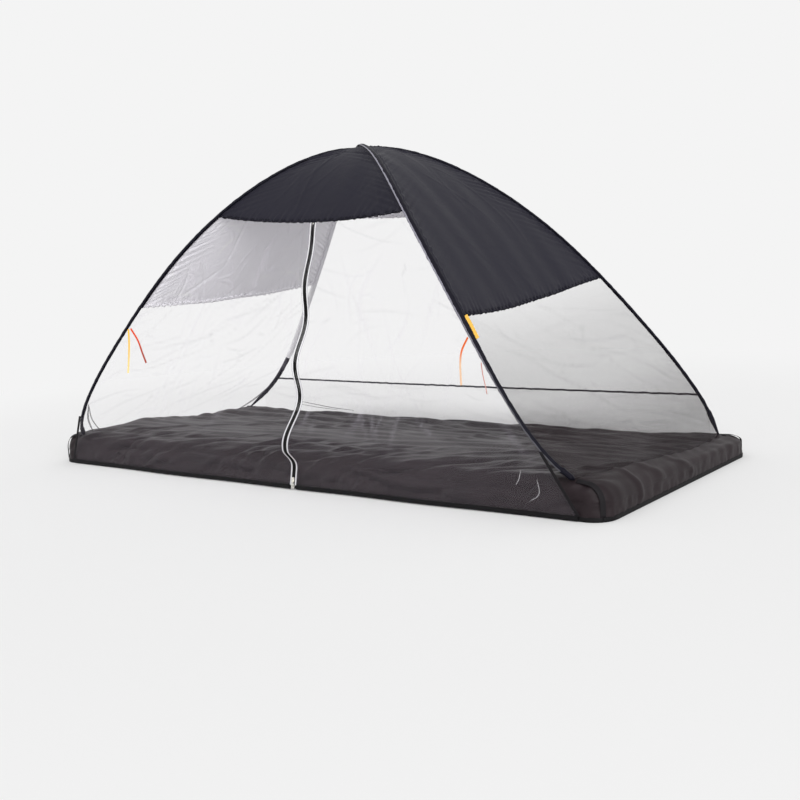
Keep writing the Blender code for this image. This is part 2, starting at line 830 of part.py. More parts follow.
def build_back_net():
    """The back wall: an upper net, a sewn tape and a lower net down to the cover."""
    columns = 14
    across = [-1 + 2 * j / columns for j in range(columns + 1)]
    hem = HEMS["back"][0] + SEAM_ROOM
    tape_low = BACK_SEAM + SEAM_TAPE
    spans = {
        "net_back_upper": (hem, BACK_SEAM - SEAM_ROOM, 9, NET_CLOTH, netting()),
        "back_seam_tape": (BACK_SEAM, tape_low, 1, NET_CLOTH + HEM_FOLD, sleeve_polyester()),
        "net_back_lower": (tape_low + SEAM_ROOM, ARM_LENGTH, 3, NET_CLOTH, netting()),
    }
    for name, (top, low, rows, cloth, finish) in spans.items():
        grid = []
        for i in range(rows + 1):
            grid.append([back_point(top + (low - top) * i / rows, u) for u in across])
        if name == "net_back_lower":
            grid.append(foot_row("back", columns))
        sheet(name, grid, cloth, finish)


# Door and zip


def zip_line_top():
    """Where the zip meets the front hem."""
    left, right = row_edges("front", *arm_reaches("front", 1.0))
    u = 2 * (ZIP_TOP_X - left.x) / (right.x - left.x) - 1
    return roof_point("front", 1.0, u)


ZIP_TOP = zip_line_top()
ZIP_FOOT = Vector((ZIP_FOOT_X, -BASE_WIDTH / 2 - ZIP_FOOT_PROUD, ZIP_FOOT_Z))
ZIP_ROOM = SEAM_ROOM + HEM_FOLD


def zip_wave(z):
    """Slack of the closed zip, outwards from a straight run, gone at both ends."""
    size = ZIP_WAVE * max(1 - z / ZIP_WAVE_END, 0.0)
    fade = smooth_step((z - ZIP_STRAIGHT) / 0.060) * smooth_step((ZIP_TOP.z - z) / 0.060)
    return size * fade * (1 + math.cos(2 * math.pi * (z - ZIP_WAVE_CREST) / ZIP_WAVE_LENGTH))


def zip_point(z):
    """The zip's middle at a height."""
    share = (z - ZIP_FOOT.z) / (ZIP_TOP.z - ZIP_FOOT.z)
    straight = ZIP_FOOT.lerp(ZIP_TOP, share)
    return straight - Vector((0, zip_wave(z), 0))


def door_side(sign, z):
    """The door's outer edge at a height: beside the sleeve, then beside the seam tape."""
    split = arm_point(sign, -1, SPLIT)
    if z >= split.z:
        low = 0.3
        high = SPLIT
        for _ in range(30):
            middle = (low + high) / 2
            if arm_point(sign, -1, middle).z > z:
                low = middle
            else:
                high = middle
        left, right = row_edges("front", low, low)
        clear = smooth_step((low - SPLIT + 0.100) / 0.080)
        edge = left if sign < 0 else right
        return edge + Vector((-sign, -1, 0)) * (DOOR_PROUD * clear)
    point = door_seam_point(sign, (split.z - z) / (split.z - ZIP_FOOT_Z))
    return point - Vector((sign * (DOOR_SEAM_WIDTH / 2 + SEAM_ROOM), 0, 0))


def door_seam_point(sign, share):
    """The tape that carries the door's edge from the sleeve to the front lower corner."""
    split = arm_point(sign, -1, SPLIT)
    start = split + Vector((0, -(SLEEVE_HALF_WIDTH + WEBBING + 0.001), 0))
    corner_x = sign * (BASE_LENGTH / 2 - DOOR_CORNER_INSET[0])
    stop = Vector((corner_x, -BASE_WIDTH / 2 + DOOR_CORNER_INSET[1], ZIP_FOOT_Z))
    return start.lerp(stop, share)


def door_point(sign, z, share):
    """The door net's middle surface, share 0 at the zip tape and 1 at its side."""
    edge = door_side(sign, z)
    zip_middle = zip_point(z)
    wave = zip_wave(z)
    x0 = zip_middle.x + sign * (TAPE_EDGE + SEAM_ROOM)
    x = x0 + (edge.x - x0) * share
    straight = zip_middle.y + wave
    y = straight + (edge.y - straight) * share ** 1.5
    y -= wave * (1 - share) ** 2.5
    crease = NET_CREASE * math.sin(math.pi * share) * math.sin(9 * share + 14 * z)
    return Vector((x, y + crease, z))


def build_door_net(sign, name):
    """One half of the netting door, from the hem to the front lower edge."""
    rows = 25
    columns = 8
    low = ZIP_FOOT_Z
    grid = []
    for i in range(rows + 1):
        row = []
        for j in range(columns + 1):
            share = j / columns
            top = front_hem_height(sign, share)
            z = top + (low - top) * i / rows
            row.append(door_point(sign, z, share))
        grid.append(row)
    sheet("door_net_" + name, grid, NET_CLOTH, netting())


def front_hem_height(sign, share):
    """Height of the bound hem just over a place along a door half."""
    left, right = row_edges("front", *arm_reaches("front", 1.0))
    edge = left if sign < 0 else right
    x0 = ZIP_TOP.x + sign * (TAPE_EDGE + SEAM_ROOM)
    x = x0 + (edge.x - x0) * share
    u = 2 * (x - left.x) / (right.x - left.x) - 1
    return roof_point("front", 1.0, u).z - ZIP_ROOM


def zip_stations(count, top_room=0.0, low=ZIP_FOOT_Z):
    top = ZIP_TOP.z - ZIP_ROOM - top_room
    return [top + (low - top) * k / count for k in range(count + 1)]


def build_zip_tape(sign, name):
    """A woven polyester tape between the chain and the door net."""
    grid = []
    for z in zip_stations(28):
        middle = zip_point(z)
        reaches = (CHAIN_HALF_WIDTH + TOUCH, TAPE_EDGE)
        grid.append([middle + Vector((sign * reach, 0, 0)) for reach in reaches])
    sheet("zip_tape_" + name, grid, TAPE_THICK, zip_tape())


def zip_frame(z):
    """Up along the zip, across it, and out from the tent."""
    step = 0.003
    up = (zip_point(z + step) - zip_point(z - step)).normalized()
    return frame_about(up)


def frame_about(up):
    across = (Vector((1, 0, 0)) - up * up.x).normalized()
    out = across.cross(up).normalized()
    out *= -1 if out.y > 0 else 1
    return up, across, out


def slider_origin():
    up = (ZIP_TOP - ZIP_FOOT).normalized()
    return ZIP_FOOT + up * SLIDER_UP


def zip_axes():
    """The straight axes in which the slider runs."""
    return frame_about((ZIP_TOP - ZIP_FOOT).normalized())


def build_zip_chain():
    """The closed coil, from the hem down into the slider's throat."""
    low = (slider_origin() + zip_axes()[0] * (SLIDER_LENGTH * 0.05)).z
    rings = []
    for z in zip_stations(30, STOP_HEIGHT + TOUCH, low):
        up, across, out = zip_frame(z)
        centre = zip_point(z)
        a = CHAIN_HALF_WIDTH
        b = CHAIN_THICK / 2
        rings.append([
            centre - across * a - out * (b * 0.5),
            centre - across * (a * 0.7) - out * b,
            centre + across * (a * 0.7) - out * b,
            centre + across * a - out * (b * 0.5),
            centre + across * a + out * (b * 0.5),
            centre + across * (a * 0.7) + out * b,
            centre - across * (a * 0.7) + out * b,
            centre - across * a + out * (b * 0.5),
        ])
    rod_like("zip_chain", rings, zip_nylon())


def box_at(name, centre, axes, half_sizes, finish, bevel=0.0):
    """A bevelled block in given axes."""
    rings = []
    for sign in (-1, 1):
        middle = centre + axes[2] * (sign * half_sizes[2])
        rings.append(flat_ring(middle, axes[0], axes[1], half_sizes[0], half_sizes[1]))
    points, faces = skin_rings(rings)
    made = finish_object(name, mesh_from(name, points, faces), finish, 30)
    if bevel:
        edge = made.modifiers.new("soft edges", "BEVEL")
        edge.width = bevel
        edge.segments = 1
    return made


def build_zip_stops():
    """Crimped stops: one across the chain's top, one on each tape's foot."""
    top_z = ZIP_TOP.z - ZIP_ROOM - STOP_HEIGHT / 2
    up, across, out = zip_frame(top_z)
    centre = zip_point(top_z)
    box_at("zip_stop_top", centre, (across, out, up),
           (CHAIN_HALF_WIDTH - 0.0004, CHAIN_THICK / 2, STOP_HEIGHT / 2 - 0.0002), nickel(), 0.0004)
    up, across, out = zip_axes()
    foot = ZIP_FOOT + up * (STOP_HEIGHT / 2 + 0.0005)
    for sign, name in ((-1, "left"), (1, "right")):
        centre = foot + across * (sign * CHAIN_HALF_WIDTH * 0.55)
        box_at("zip_stop_foot_" + name, centre, (across, out, up),
               (CHAIN_HALF_WIDTH * 0.45 - 0.0001, CHAIN_THICK / 2, STOP_HEIGHT / 2), nickel(), 0.0003)


def prism(outline, low, high):
    """An outline in a piece's own XY plane, given depth from low to high along its Z."""
    rings = [[Vector((a, b, depth)) for a, b in outline] for depth in (low, high)]
    points, faces = skin_rings(rings)
    return mesh_from("prism", points, faces)


def union_of(name, meshes, finish, place):
    """Overlapping shapes joined into one body by Boolean unions, its origin at a place."""
    base = finish_object(name, meshes[0], finish, 30)
    base.matrix_world = place
    for k, mesh in enumerate(meshes[1:]):
        tool = bpy.data.objects.new(name + "_tool" + str(k), mesh)
        bpy.context.scene.collection.objects.link(tool)
        tool.matrix_world = place
        tool.hide_render = True
        tool.display_type = "WIRE"
        join = base.modifiers.new("join " + str(k), "BOOLEAN")
        join.operation = "UNION"
        join.solver = "EXACT"
        join.object = tool
    return base


def zip_place(off=0.0):
    """The slider's own axes: X across the zip, Y up along it and Z out of the tent."""
    up, across, out = zip_axes()
    middle = slider_origin() + out * off
    return Matrix.Translation(middle) @ Matrix((across, up, out)).transposed().to_4x4()


def build_slider():
    """A two-sided slider: plates, side flanges, the wedge that parts the coils, and a
    bridge on each face for its pull."""
    half = SLIDER_LENGTH / 2
    top = SLIDER_TOP_WIDTH / 2
    mouth = SLIDER_MOUTH_WIDTH / 2
    inner = CHAIN_THICK / 2 + SLIDER_PLAY
    outer = inner + SLIDER_PLATE
    slot = TAPE_THICK / 2 + SLIDER_PLAY
    right_edge = [(top * 0.8, half), (top, half * 0.75), (mouth, -half * 0.35),
                  (mouth * 0.93, -half * 0.8), (mouth * 0.6, -half)]
    plate = [(-x, y) for x, y in right_edge] + right_edge[::-1]
    wedge_edge = [(0.0004, -half * 0.10), (0.0019, -half * 0.55), (0.0012, -half * 0.9)]
    wedge = [(-x, y) for x, y in wedge_edge] + wedge_edge[::-1]
    meshes = [prism(plate, inner, outer), prism(plate, -outer, -inner)]
    sink = SLIDER_PLATE * 0.5
    meshes.append(prism(wedge, -inner - sink, inner + sink))
    rail = 0.0007
    for hand in (1, -1):
        flange = [(hand * (top - rail), half * 0.7), (hand * (top - 0.0001), half * 0.7),
                  (hand * (mouth - 0.0001), -half * 0.35), (hand * (mouth - rail), -half * 0.35)]
        for sign in (1, -1):
            meshes.append(prism(flange, *sorted((sign * slot, sign * (inner + sink)))))
    reach = BRIDGE_LENGTH / 2
    wide = BRIDGE_WIDTH / 2
    bar_low = outer + BRIDGE_ROOM - BRIDGE_BAR
    bar = [(-wide, -reach), (wide, -reach), (wide, reach), (-wide, reach)]
    for sign in (1, -1):
        meshes.append(prism(bar, *sorted((sign * bar_low, sign * (bar_low + BRIDGE_BAR)))))
        for step in (1, -1):
            near = step * (reach - BRIDGE_BAR)
            far = step * (reach - 0.0001)
            leg = [(-wide * 0.98, near), (wide * 0.98, near), (wide * 0.98, far), (-wide * 0.98, far)]
            span = sorted((sign * (outer - sink), sign * (bar_low + BRIDGE_BAR * 0.5)))
            meshes.append(prism(leg, *span))
    union_of("zip_slider", meshes, nickel(), zip_place())


def build_pull(sign, name):
    """A puller: a round bar held by the bridge, two side arms and a tapered grip. Its
    origin is the middle of the bar, on which it turns."""
    plate = CHAIN_THICK / 2 + SLIDER_PLAY + SLIDER_PLATE
    axis = sign * (plate + PULL_BAR_RADIUS + PULL_PLAY)
    wide = PULL_WIDTH / 2
    thick = PULL_THICK / 2
    right_edge = [(wide * 0.80, -PULL_EYE), (wide, -PULL_EYE - 0.006),
                  (wide * 0.72, -PULL_LENGTH + 0.002), (wide * 0.4, -PULL_LENGTH)]
    grip = [(-x, y) for x, y in right_edge] + right_edge[::-1]
    meshes = [prism(grip, -thick, thick)]
    for hand in (1, -1):
        near = hand * (wide - PULL_ARM)
        far = hand * wide * 0.78
        low = -PULL_EYE - 0.001
        meshes.append(prism([(near, low), (far, low), (far, 0.0), (near, 0.0)], -thick * 0.9, thick * 0.9))
    rings = []
    for end in (-1, 1):
        ring = []
        for k in range(8):
            turn = 2 * math.pi * (k + 0.5) / 8
            y = PULL_BAR_RADIUS * math.cos(turn)
            z = PULL_BAR_RADIUS * math.sin(turn)
            ring.append(Vector((end * wide * 0.80, y, z)))
        rings.append(ring)
    meshes.append(mesh_from("bar", *skin_rings(rings)))
    union_of("zip_pull_" + name, meshes, nickel(), zip_place(axis))


def build_door_edges(sign, name):
    """The seam tape down to the front corner, and the bound hem along the door's foot."""
    rings = []
    for k in range(7):
        point = door_seam_point(sign, 0.03 + 0.97 * k / 6)
        sideways = Vector((1, 0, 0))
        outward = Vector((0, 1, 0))
        rings.append(flat_ring(point, sideways, outward, DOOR_SEAM_WIDTH / 2, WEBBING / 2))
    rod_like("door_seam_tape_" + name, rings, sleeve_polyester(), 30)
    columns = 8
    grid = []
    for z in (ZIP_FOOT_Z - SEAM_ROOM, ZIP_FOOT_Z - DOOR_HEM_HEIGHT):
        row = []
        for j in range(columns + 1):
            point = door_point(sign, ZIP_FOOT_Z, j / columns)
            row.append(Vector((point.x, point.y, z)))
        grid.append(row)
    sheet("door_hem_" + name, grid, NET_CLOTH + HEM_FOLD, sleeve_polyester())


# Ties and label


def build_tie(name, route, finish):
    """A flat ribbon hanging from the sleeve's seam: a curve drawn in its own plane, X down
    and Y into the tent, widened both ways along its Z, which points to the foot end."""
    curve = bpy.data.curves.new(name, "CURVE")
    curve.dimensions = "3D"
    curve.twist_mode = "Z_UP"
    curve.extrude = (TIE_WIDTH - TIE_THICK) / 2
    curve.bevel_depth = TIE_THICK / 2
    curve.bevel_resolution = 2
    curve.use_fill_caps = True
    path = smooth_route(route, 11)
    spline = curve.splines.new("POLY")
    spline.points.add(len(path) - 1)
    for place, point in zip(spline.points, path):
        place.co = (-point.z, point.y, point.x, 1.0)
    curve.materials.append(finish)
    made = bpy.data.objects.new(name, curve)
    made.rotation_euler = (0.0, math.pi / 2, 0.0)
    bpy.context.scene.collection.objects.link(made)
    return made


def smooth_route(route, count):
    """Points on a Catmull-Rom curve through a route."""
    ends = [route[0] * 2 - route[1]] + route + [route[-1] * 2 - route[-2]]
    path = []
    spans = len(route) - 1
    for k in range(count + 1):
        t = spans * k / count
        i = min(int(t), spans - 1)
        s = t - i
        p0, p1, p2, p3 = ends[i:i + 4]
        square = (2 * p0 - 5 * p1 + 4 * p2 - p3) * s ** 2
        cube = (3 * p1 - p0 - 3 * p2 + p3) * s ** 3
        path.append(0.5 * (2 * p1 + (p2 - p0) * s + square + cube))
    return path


def tie_route(sign, down_the_arm, steps):
    """Places a hanging tie over the door net: steps are across and down from its root."""
    z = arm_point(sign, -1, TIE_REACH[sign] + down_the_arm).z
    root = door_side(sign, z)
    route = []
    for across, drop in steps:
        x = root.x - sign * (0.003 + across)
        height = z - drop
        edge = door_side(sign, height)
        start = zip_point(height).x + sign * (TAPE_EDGE + SEAM_ROOM)
        point = door_point(sign, height, (x - start) / (edge.x - start))
        route.append(point + Vector((0, -TIE_LIFT, 0)))
    return route


def build_ties():
    """Two pairs of ribbons that hold the rolled door halves open."""
    orange = material("tie_orange", "F05A1E", 0.6)
    yellow = material("tie_yellow", "F8C84A", 0.6)
    build_tie("tie_left_yellow", tie_route(-1, 0.0, (
        (0.000, 0.000), (0.004, 0.040), (0.005, 0.090), (0.004, 0.141))), yellow)
    build_tie("tie_left_orange", tie_route(-1, 0.0, (
        (0.009, -0.002), (0.040, 0.036), (0.062, 0.076), (0.082, 0.108))), orange)
    build_tie("tie_right_orange", tie_route(1, 0.0, (
        (0.000, 0.000), (0.020, 0.034), (0.024, 0.068), (0.018, 0.122))), orange)
    build_tie("tie_right_pink", tie_route(1, TIE_PAIR_STEP, (
        (0.000, 0.000), (-0.006, 0.030), (-0.014, 0.055), (-0.020, 0.078))), orange)


def build_label():
    """A folded, blank woven label caught in the seam on the foot end."""
    front_hem, back_hem = HEMS["foot"][:2]
    start = front_hem + 0.005
    grid = []
    for k in range(5):
        reach = start + LABEL_LENGTH * k / 4
        share = (reach - front_hem - SEAM_ROOM) / (ARM_LENGTH - front_hem - SEAM_ROOM)
        right_reach = back_hem + SEAM_ROOM + (ARM_LENGTH - back_hem - SEAM_ROOM) * share
        left, right = row_edges("foot", reach, right_reach)
        towards = (right - left).normalized()
        lift = Vector((0.72, 0, 0.69)) * (NET_CLOTH / 2 + TOUCH + 2 * LABEL_THICK)
        grid.append([left + lift, left + towards * LABEL_WIDTH + lift])
    sheet("side_label", grid, LABEL_THICK, material("label_yellow", "F5C451", 0.7))


def build_all():
    clear_scene()
    for pole in ("lower", "upper"):
        build_rod(pole)
        build_sleeve(pole)
    corners = {"front_left": (-1, -1), "front_right": (1, -1), "back_left": (-1, 1), "back_right": (1, 1)}
    for name, (end, side) in corners.items():
        build_tip(end, side, name)
        build_pocket(end, side, name)
        build_corner_strap(end, side, name)
    build_floor()
    for face in SIDES:
        build_skirt(face)
        build_base_binding(face)
        build_roof(face)
    build_end_net("head")
    build_end_net("foot")
    build_back_net()
    for sign, name in ((-1, "left"), (1, "right")):
        build_door_net(sign, name)
        build_door_edges(sign, name)
        build_zip_tape(sign, name)
    build_zip_chain()
    build_zip_stops()
    build_slider()
    build_pull(1, "outer")
    build_pull(-1, "inner")
    build_ties()
    build_label()


build_all()
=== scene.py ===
"""Looks of the pop-up bed tent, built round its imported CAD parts. Metres, +Z up."""

import math

import bpy
import numpy as np
from mathutils import Matrix, Vector


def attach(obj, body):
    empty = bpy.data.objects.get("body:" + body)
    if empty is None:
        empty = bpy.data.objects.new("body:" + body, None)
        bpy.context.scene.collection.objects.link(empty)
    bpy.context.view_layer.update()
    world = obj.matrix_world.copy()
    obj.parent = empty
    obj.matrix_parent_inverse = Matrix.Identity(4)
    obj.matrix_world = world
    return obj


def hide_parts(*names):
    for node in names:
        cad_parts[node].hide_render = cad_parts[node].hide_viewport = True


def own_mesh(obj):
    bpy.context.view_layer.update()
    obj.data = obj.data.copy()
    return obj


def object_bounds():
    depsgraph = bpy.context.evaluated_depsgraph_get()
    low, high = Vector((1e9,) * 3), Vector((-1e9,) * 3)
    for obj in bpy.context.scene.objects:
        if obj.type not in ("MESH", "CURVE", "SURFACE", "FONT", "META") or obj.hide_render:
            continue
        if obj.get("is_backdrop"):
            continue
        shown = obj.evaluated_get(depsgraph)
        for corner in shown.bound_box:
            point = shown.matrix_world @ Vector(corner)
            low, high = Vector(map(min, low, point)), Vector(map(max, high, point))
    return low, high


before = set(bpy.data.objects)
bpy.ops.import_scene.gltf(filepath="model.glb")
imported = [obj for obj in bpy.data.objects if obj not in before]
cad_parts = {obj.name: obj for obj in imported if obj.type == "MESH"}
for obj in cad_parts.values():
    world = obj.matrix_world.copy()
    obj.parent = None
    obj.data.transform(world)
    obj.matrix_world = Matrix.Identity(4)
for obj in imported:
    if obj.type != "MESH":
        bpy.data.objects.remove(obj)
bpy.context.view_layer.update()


# Camera
# It stands past the foot end's front corner at about the height of a seated eye, as the
# photograph's did, and looks slightly down across the front towards the head end.

CAMERA_PLACE = Vector((2.3218, -2.8735, 0.7122))
CAMERA_RIGHT = Vector((0.79425, 0.60483, -0.05778))
CAMERA_DOWN = Vector((0.03992, -0.14684, -0.98835))
CAMERA_FORWARD = Vector((-0.60627, 0.78270, -0.14078))
FOCAL_LENGTH = 51.79
SENSOR_WIDTH = 36.0

lens = bpy.data.cameras.new("photo_camera")
lens.lens = FOCAL_LENGTH
lens.sensor_width = SENSOR_WIDTH
camera = bpy.data.objects.new("photo_camera", lens)
facing = Matrix((CAMERA_RIGHT, -CAMERA_DOWN, -CAMERA_FORWARD)).transposed()
camera.matrix_world = Matrix.Translation(CAMERA_PLACE) @ facing.to_4x4()
bpy.context.scene.collection.objects.link(camera)
bpy.context.scene.camera = camera


# Door ties
# Four loose ends of 6 mm polyester ribbon, sewn into the front sleeves' seams in pairs, that
# hold the rolled door halves. They hang free over the net: two orange, one yellow, one pink.

TIE_WIDTH = 0.006
TIE_THICK = 0.0008
TIE_STEPS = 27
TIE_TWIST = 0.2
RIB_SPACING = 0.0012
RIB_DEPTH = 0.0003

TIE_PATHS = {
    "left_orange": (
        (-.6506, -.4412, .4658), (-.6419, -.4413, .4555), (-.6331, -.4413, .4452),
        (-.6247, -.4415, .4348), (-.6173, -.4421, .4242), (-.6109, -.4431, .4131),
        (-.6051, -.4444, .4018), (-.5995, -.4457, .3911), (-.5939, -.4469, .3815),
        (-.5884, -.4482, .3727), (-.5830, -.4495, .3643), (-.5776, -.4508, .3558)),
    "left_yellow": (
        (-.6596, -.4430, .4638), (-.6584, -.4444, .4532), (-.6572, -.4458, .4427),
        (-.6562, -.4473, .4317), (-.6554, -.4490, .4196), (-.6549, -.4509, .4064),
        (-.6547, -.4529, .3925), (-.6546, -.4550, .3784), (-.6547, -.4571, .3646),
        (-.6549, -.4593, .3507), (-.6553, -.4616, .3367), (-.6556, -.4638, .3228)),
    "right_orange": (
        (.6729, -.4478, .4469), (.6670, -.4479, .4376), (.6609, -.4479, .4284),
        (.6555, -.4480, .4191), (.6519, -.4486, .4099), (.6498, -.4494, .4014),
        (.6489, -.4505, .3927), (.6488, -.4520, .3827), (.6493, -.4540, .3703),
        (.6509, -.4565, .3557), (.6529, -.4592, .3402), (.6549, -.4619, .3249)),
    "right_pink": (
        (.7208, -.4643, .3850), (.7224, -.4654, .3767), (.7239, -.4665, .3683),
        (.7256, -.4676, .3601), (.7275, -.4686, .3525), (.7297, -.4696, .3454),
        (.7320, -.4706, .3387), (.7341, -.4715, .3322), (.7360, -.4723, .3257),
        (.7377, -.4730, .3194), (.7392, -.4737, .3132), (.7408, -.4744, .3070)),
}


def colour(hex_code):
    """An sRGB hex colour as the linear colour that a shader takes."""
    channels = [int(hex_code[k:k + 2], 16) / 255 for k in (0, 2, 4)]
    return (*[c / 12.92 if c <= 0.04045 else ((c + 0.055) / 1.055) ** 2.4 for c in channels], 1.0)


def feed(node, sockets):
    """Sets a node's inputs to values, or links them to other nodes' outputs."""
    for socket, value in sockets.items():
        if isinstance(value, bpy.types.NodeSocket):
            node.id_data.links.new(value, node.inputs[socket])
        else:
            node.inputs[socket].default_value = value


def start_finish(name, sockets):
    """A new material, its tree and its shader, fed as said."""
    made = bpy.data.materials.new(name)
    made.use_nodes = True
    shader = made.node_tree.nodes["Principled BSDF"]
    feed(shader, sockets)
    return made, made.node_tree, shader


def add_node(tree, kind, inputs=(), out=0, **settings):
    """Adds a node, feeds it and returns one output. Inputs go by name, or by number where
    names repeat: a map's 1 to 4 are its ranges in and out, a mix's 6 and 7 its colours."""
    made = tree.nodes.new("ShaderNode" + kind)
    for name, value in settings.items():
        setattr(made, name, value)
    feed(made, dict(inputs))
    return made.outputs[out]


def band_scale(spacing):
    """The scale at which a band texture repeats once in a spacing."""
    return math.pi / 10 / spacing


def grosgrain(name, dyed, free_end_tone, fade_start, fade_end):
    """Grosgrain ribbon: fine ribs across it give a soft, broken satin gloss. Between two heights
    its colour turns to a second tone towards its free end. The ribs are 1.2 mm apart, coarser
    than the real 0.5 mm."""
    finish, tree, shader = start_finish(name, {"Roughness": 0.55, "Specular IOR Level": 0.4})
    place = add_node(tree, "TexCoord", out="Object")
    ribs = add_node(tree, "TexWave", {"Vector": place, "Scale": band_scale(RIB_SPACING)}, 1,
                    bands_direction="X")
    height = add_node(tree, "SeparateXYZ", {0: place}, "X")
    fade = add_node(tree, "MapRange", {0: height, 1: -fade_start, 2: -fade_end},
                    interpolation_type="SMOOTHSTEP")
    dye = add_node(tree, "Mix", {0: fade, 6: colour(dyed), 7: colour(free_end_tone)}, 2,
                   data_type="RGBA")
    shadow = add_node(tree, "MapRange", {0: ribs, 3: 0.82, 4: 1.0})
    tint = add_node(tree, "VectorMath", {0: dye, "Scale": shadow}, operation="SCALE")
    relief = add_node(tree, "Bump", {"Height": ribs, "Strength": 0.5, "Distance": RIB_DEPTH})
    feed(shader, {"Base Color": tint, "Normal": relief})
    return finish


def smooth_line(points, count):
    """Evenly stepped points on a Catmull-Rom curve through a route."""
    route = [Vector(p) for p in points]
    ends = [route[0] * 2 - route[1]] + route + [route[-1] * 2 - route[-2]]
    line = []
    for k in range(count + 1):
        t = (len(route) - 1) * k / count
        i = min(int(t), len(route) - 2)
        s = t - i
        a, b, c, d = ends[i:i + 4]
        line.append(0.5 * (2 * b + (c - a) * s + (2 * a - 5 * b + 4 * c - d) * s * s
                           + (3 * b - a - 3 * c + d) * s ** 3))
    return line


def fasten(made, node=None):
    """Fixes a piece to the tent's body, in place of the CAD node that it stands for."""
    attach(made, "tent")
    if node:
        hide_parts(node)


# Slot, turn out of the net's plane in radians, and finish.
TIE_LOOKS = {
    "left_orange": ("tie_orange", -0.5, grosgrain(
        "grosgrain_ribbon_orange_red", "E0440E", "A23A26", 0.44, 0.38)),
    "left_yellow": ("tie_yellow", -0.6, grosgrain(
        "grosgrain_ribbon_yellow", "FBC04A", "FBD98E", 0.42, 0.33)),
    "right_orange": ("tie_orange", 0.25, grosgrain(
        "grosgrain_ribbon_orange", "F06A1E", "F3C9A6", 0.42, 0.37)),
    "right_pink": ("tie_orange", 0.9, grosgrain(
        "grosgrain_ribbon_pink", "E27866", "EBA79C", 0.37, 0.33)),
}
for tie_name, (tie_slot, turned, tie_finish) in TIE_LOOKS.items():
    tie_points = TIE_PATHS[tie_name]
    tie_line = smooth_line(tie_points, TIE_STEPS)
    ribbon = bpy.data.curves.new("tie_" + tie_name + "_ribbon", "CURVE")
    ribbon.dimensions = "3D"
    ribbon.twist_mode = "Z_UP"
    ribbon.extrude = (TIE_WIDTH - TIE_THICK) / 2
    ribbon.bevel_depth = TIE_THICK / 2
    ribbon.bevel_resolution = 2
    ribbon.use_fill_caps = True
    run = ribbon.splines.new("POLY")
    run.points.add(len(tie_line) - 1)
    # The curve lies along X and is turned down, so that its tilt starts from the net's plane.
    for spot, point in zip(run.points, tie_line):
        spot.co = (-point.z, point.y, point.x, 1.0)
        spot.tilt = turned + TIE_TWIST * math.sin(9.0 * point.z + 3.0 * point.x)
    ribbon.materials.append(tie_finish)
    tie = bpy.data.objects.new(ribbon.name, ribbon)
    tie.rotation_euler = (0.0, math.pi / 2, 0.0)
    bpy.context.scene.collection.objects.link(tie)
    fasten(tie, "tie_" + tie_name)


# Sprung rods and their tips
# Two rods of drawn fibreglass, 7 mm thick and off-white, run loose in the sleeves from toe to
# toe. Each end has a cap of moulded black nylon. They keep their CAD shape.

TIP_EDGE = 0.0004
CORNERS = {
    "front_left": (-1, -1), "front_right": (1, -1), "back_left": (-1, 1), "back_right": (1, 1),
}


def speckled(name, tones, roughness, grain, detail, sockets, stretch=None, spark=0.0):
    """A hard finish whose tone and gloss drift together, in specks about a grain across.
    stretch packs them closer along an axis, and spark is how far they stand out."""
    finish, tree, shader = start_finish(name, sockets)
    place = add_node(tree, "TexCoord", out="Object")
    if stretch:
        place = add_node(tree, "Mapping", {"Vector": place, "Scale": stretch})
    noise = add_node(tree, "TexNoise", {"Vector": place, "Scale": 1 / grain, "Detail": detail})
    tint = add_node(tree, "Mix", {0: noise, 6: colour(tones[0]), 7: colour(tones[1])}, 2,
                    data_type="RGBA")
    rough = add_node(tree, "MapRange", {0: noise, 3: roughness[0], 4: roughness[1]})
    feed(shader, {"Base Color": tint, "Roughness": rough})
    if spark:
        relief = add_node(tree, "Bump", {"Height": noise, "Strength": 0.3, "Distance": spark})
        feed(shader, {"Normal": relief})
    return finish


def dress(nodes, finish, soft_edge=0.0):
    """Gives CAD nodes a finish, and edges rounded as far as said."""
    for name in nodes:
        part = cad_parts[name]
        for place in part.material_slots:
            place.link = "OBJECT"
            place.material = finish
        if soft_edge:
            rounding = part.modifiers.new("rounded edges", "BEVEL")
            rounding.width = soft_edge
            rounding.segments = 2
            rounding.limit_method = "ANGLE"


# Fibreglass pulled through a die: hard, even gloss over faint glass streaks, 17 mm long and
# 1.1 mm apart.
drawn_fibreglass = speckled("drawn_fibreglass", ("D8D2C2", "F0ECE0"), (0.22, 0.42), 0.0167, 3.0,
                            {"IOR": 1.54}, stretch=(1.0, 1.0, 15.0))
# Black nylon from a mould: satin, with the fine spark texture that hides flow marks.
moulded_nylon = speckled("moulded_black_nylon", ("151517", "222225"), (0.38, 0.55), 0.0006, 2.0,
                         {"IOR": 1.53}, spark=0.0001)
dress(["rod_lower", "rod_upper"], drawn_fibreglass)
dress(["rod_tip_" + corner for corner in CORNERS], moulded_nylon, TIP_EDGE)


# Rod sleeves
# Two tubes of navy-black polyester tape, folded round the rods and sewn flat along both
# sides. The one from front right to back left passes over the other at the top. A pale grey
# strip along its front seam is painted highlight: the satin tape's sheen on that edge. Where
# the seams draw it in, it has crinkled.

BASE_LENGTH = 2.110
BASE_WIDTH = 0.922
BASE_TOP = 0.100
APEX = 0.995
SLEEVE_HALF_WIDTH = 0.0095
SLEEVE_HALF_HEIGHT = 0.0053
SLEEVE_STEP = 0.006
SLEEVE_SEEDS = {"lower": 6, "upper": 5}
# Depth, size along and reach round the tube of its long and short crinkles.
LONG_CRINKLE = (0.055, 0.028, 0.02)
SHORT_CRINKLE = (0.05, 0.014, 0.01)
CROSSING_LIFT = 0.0055
CROSSING_REACH = 0.060
HIGHLIGHT_STRIP_THICK = 0.0011
POLES = {"lower": ((-1, -1), (1, 1)), "upper": ((1, -1), (-1, 1))}
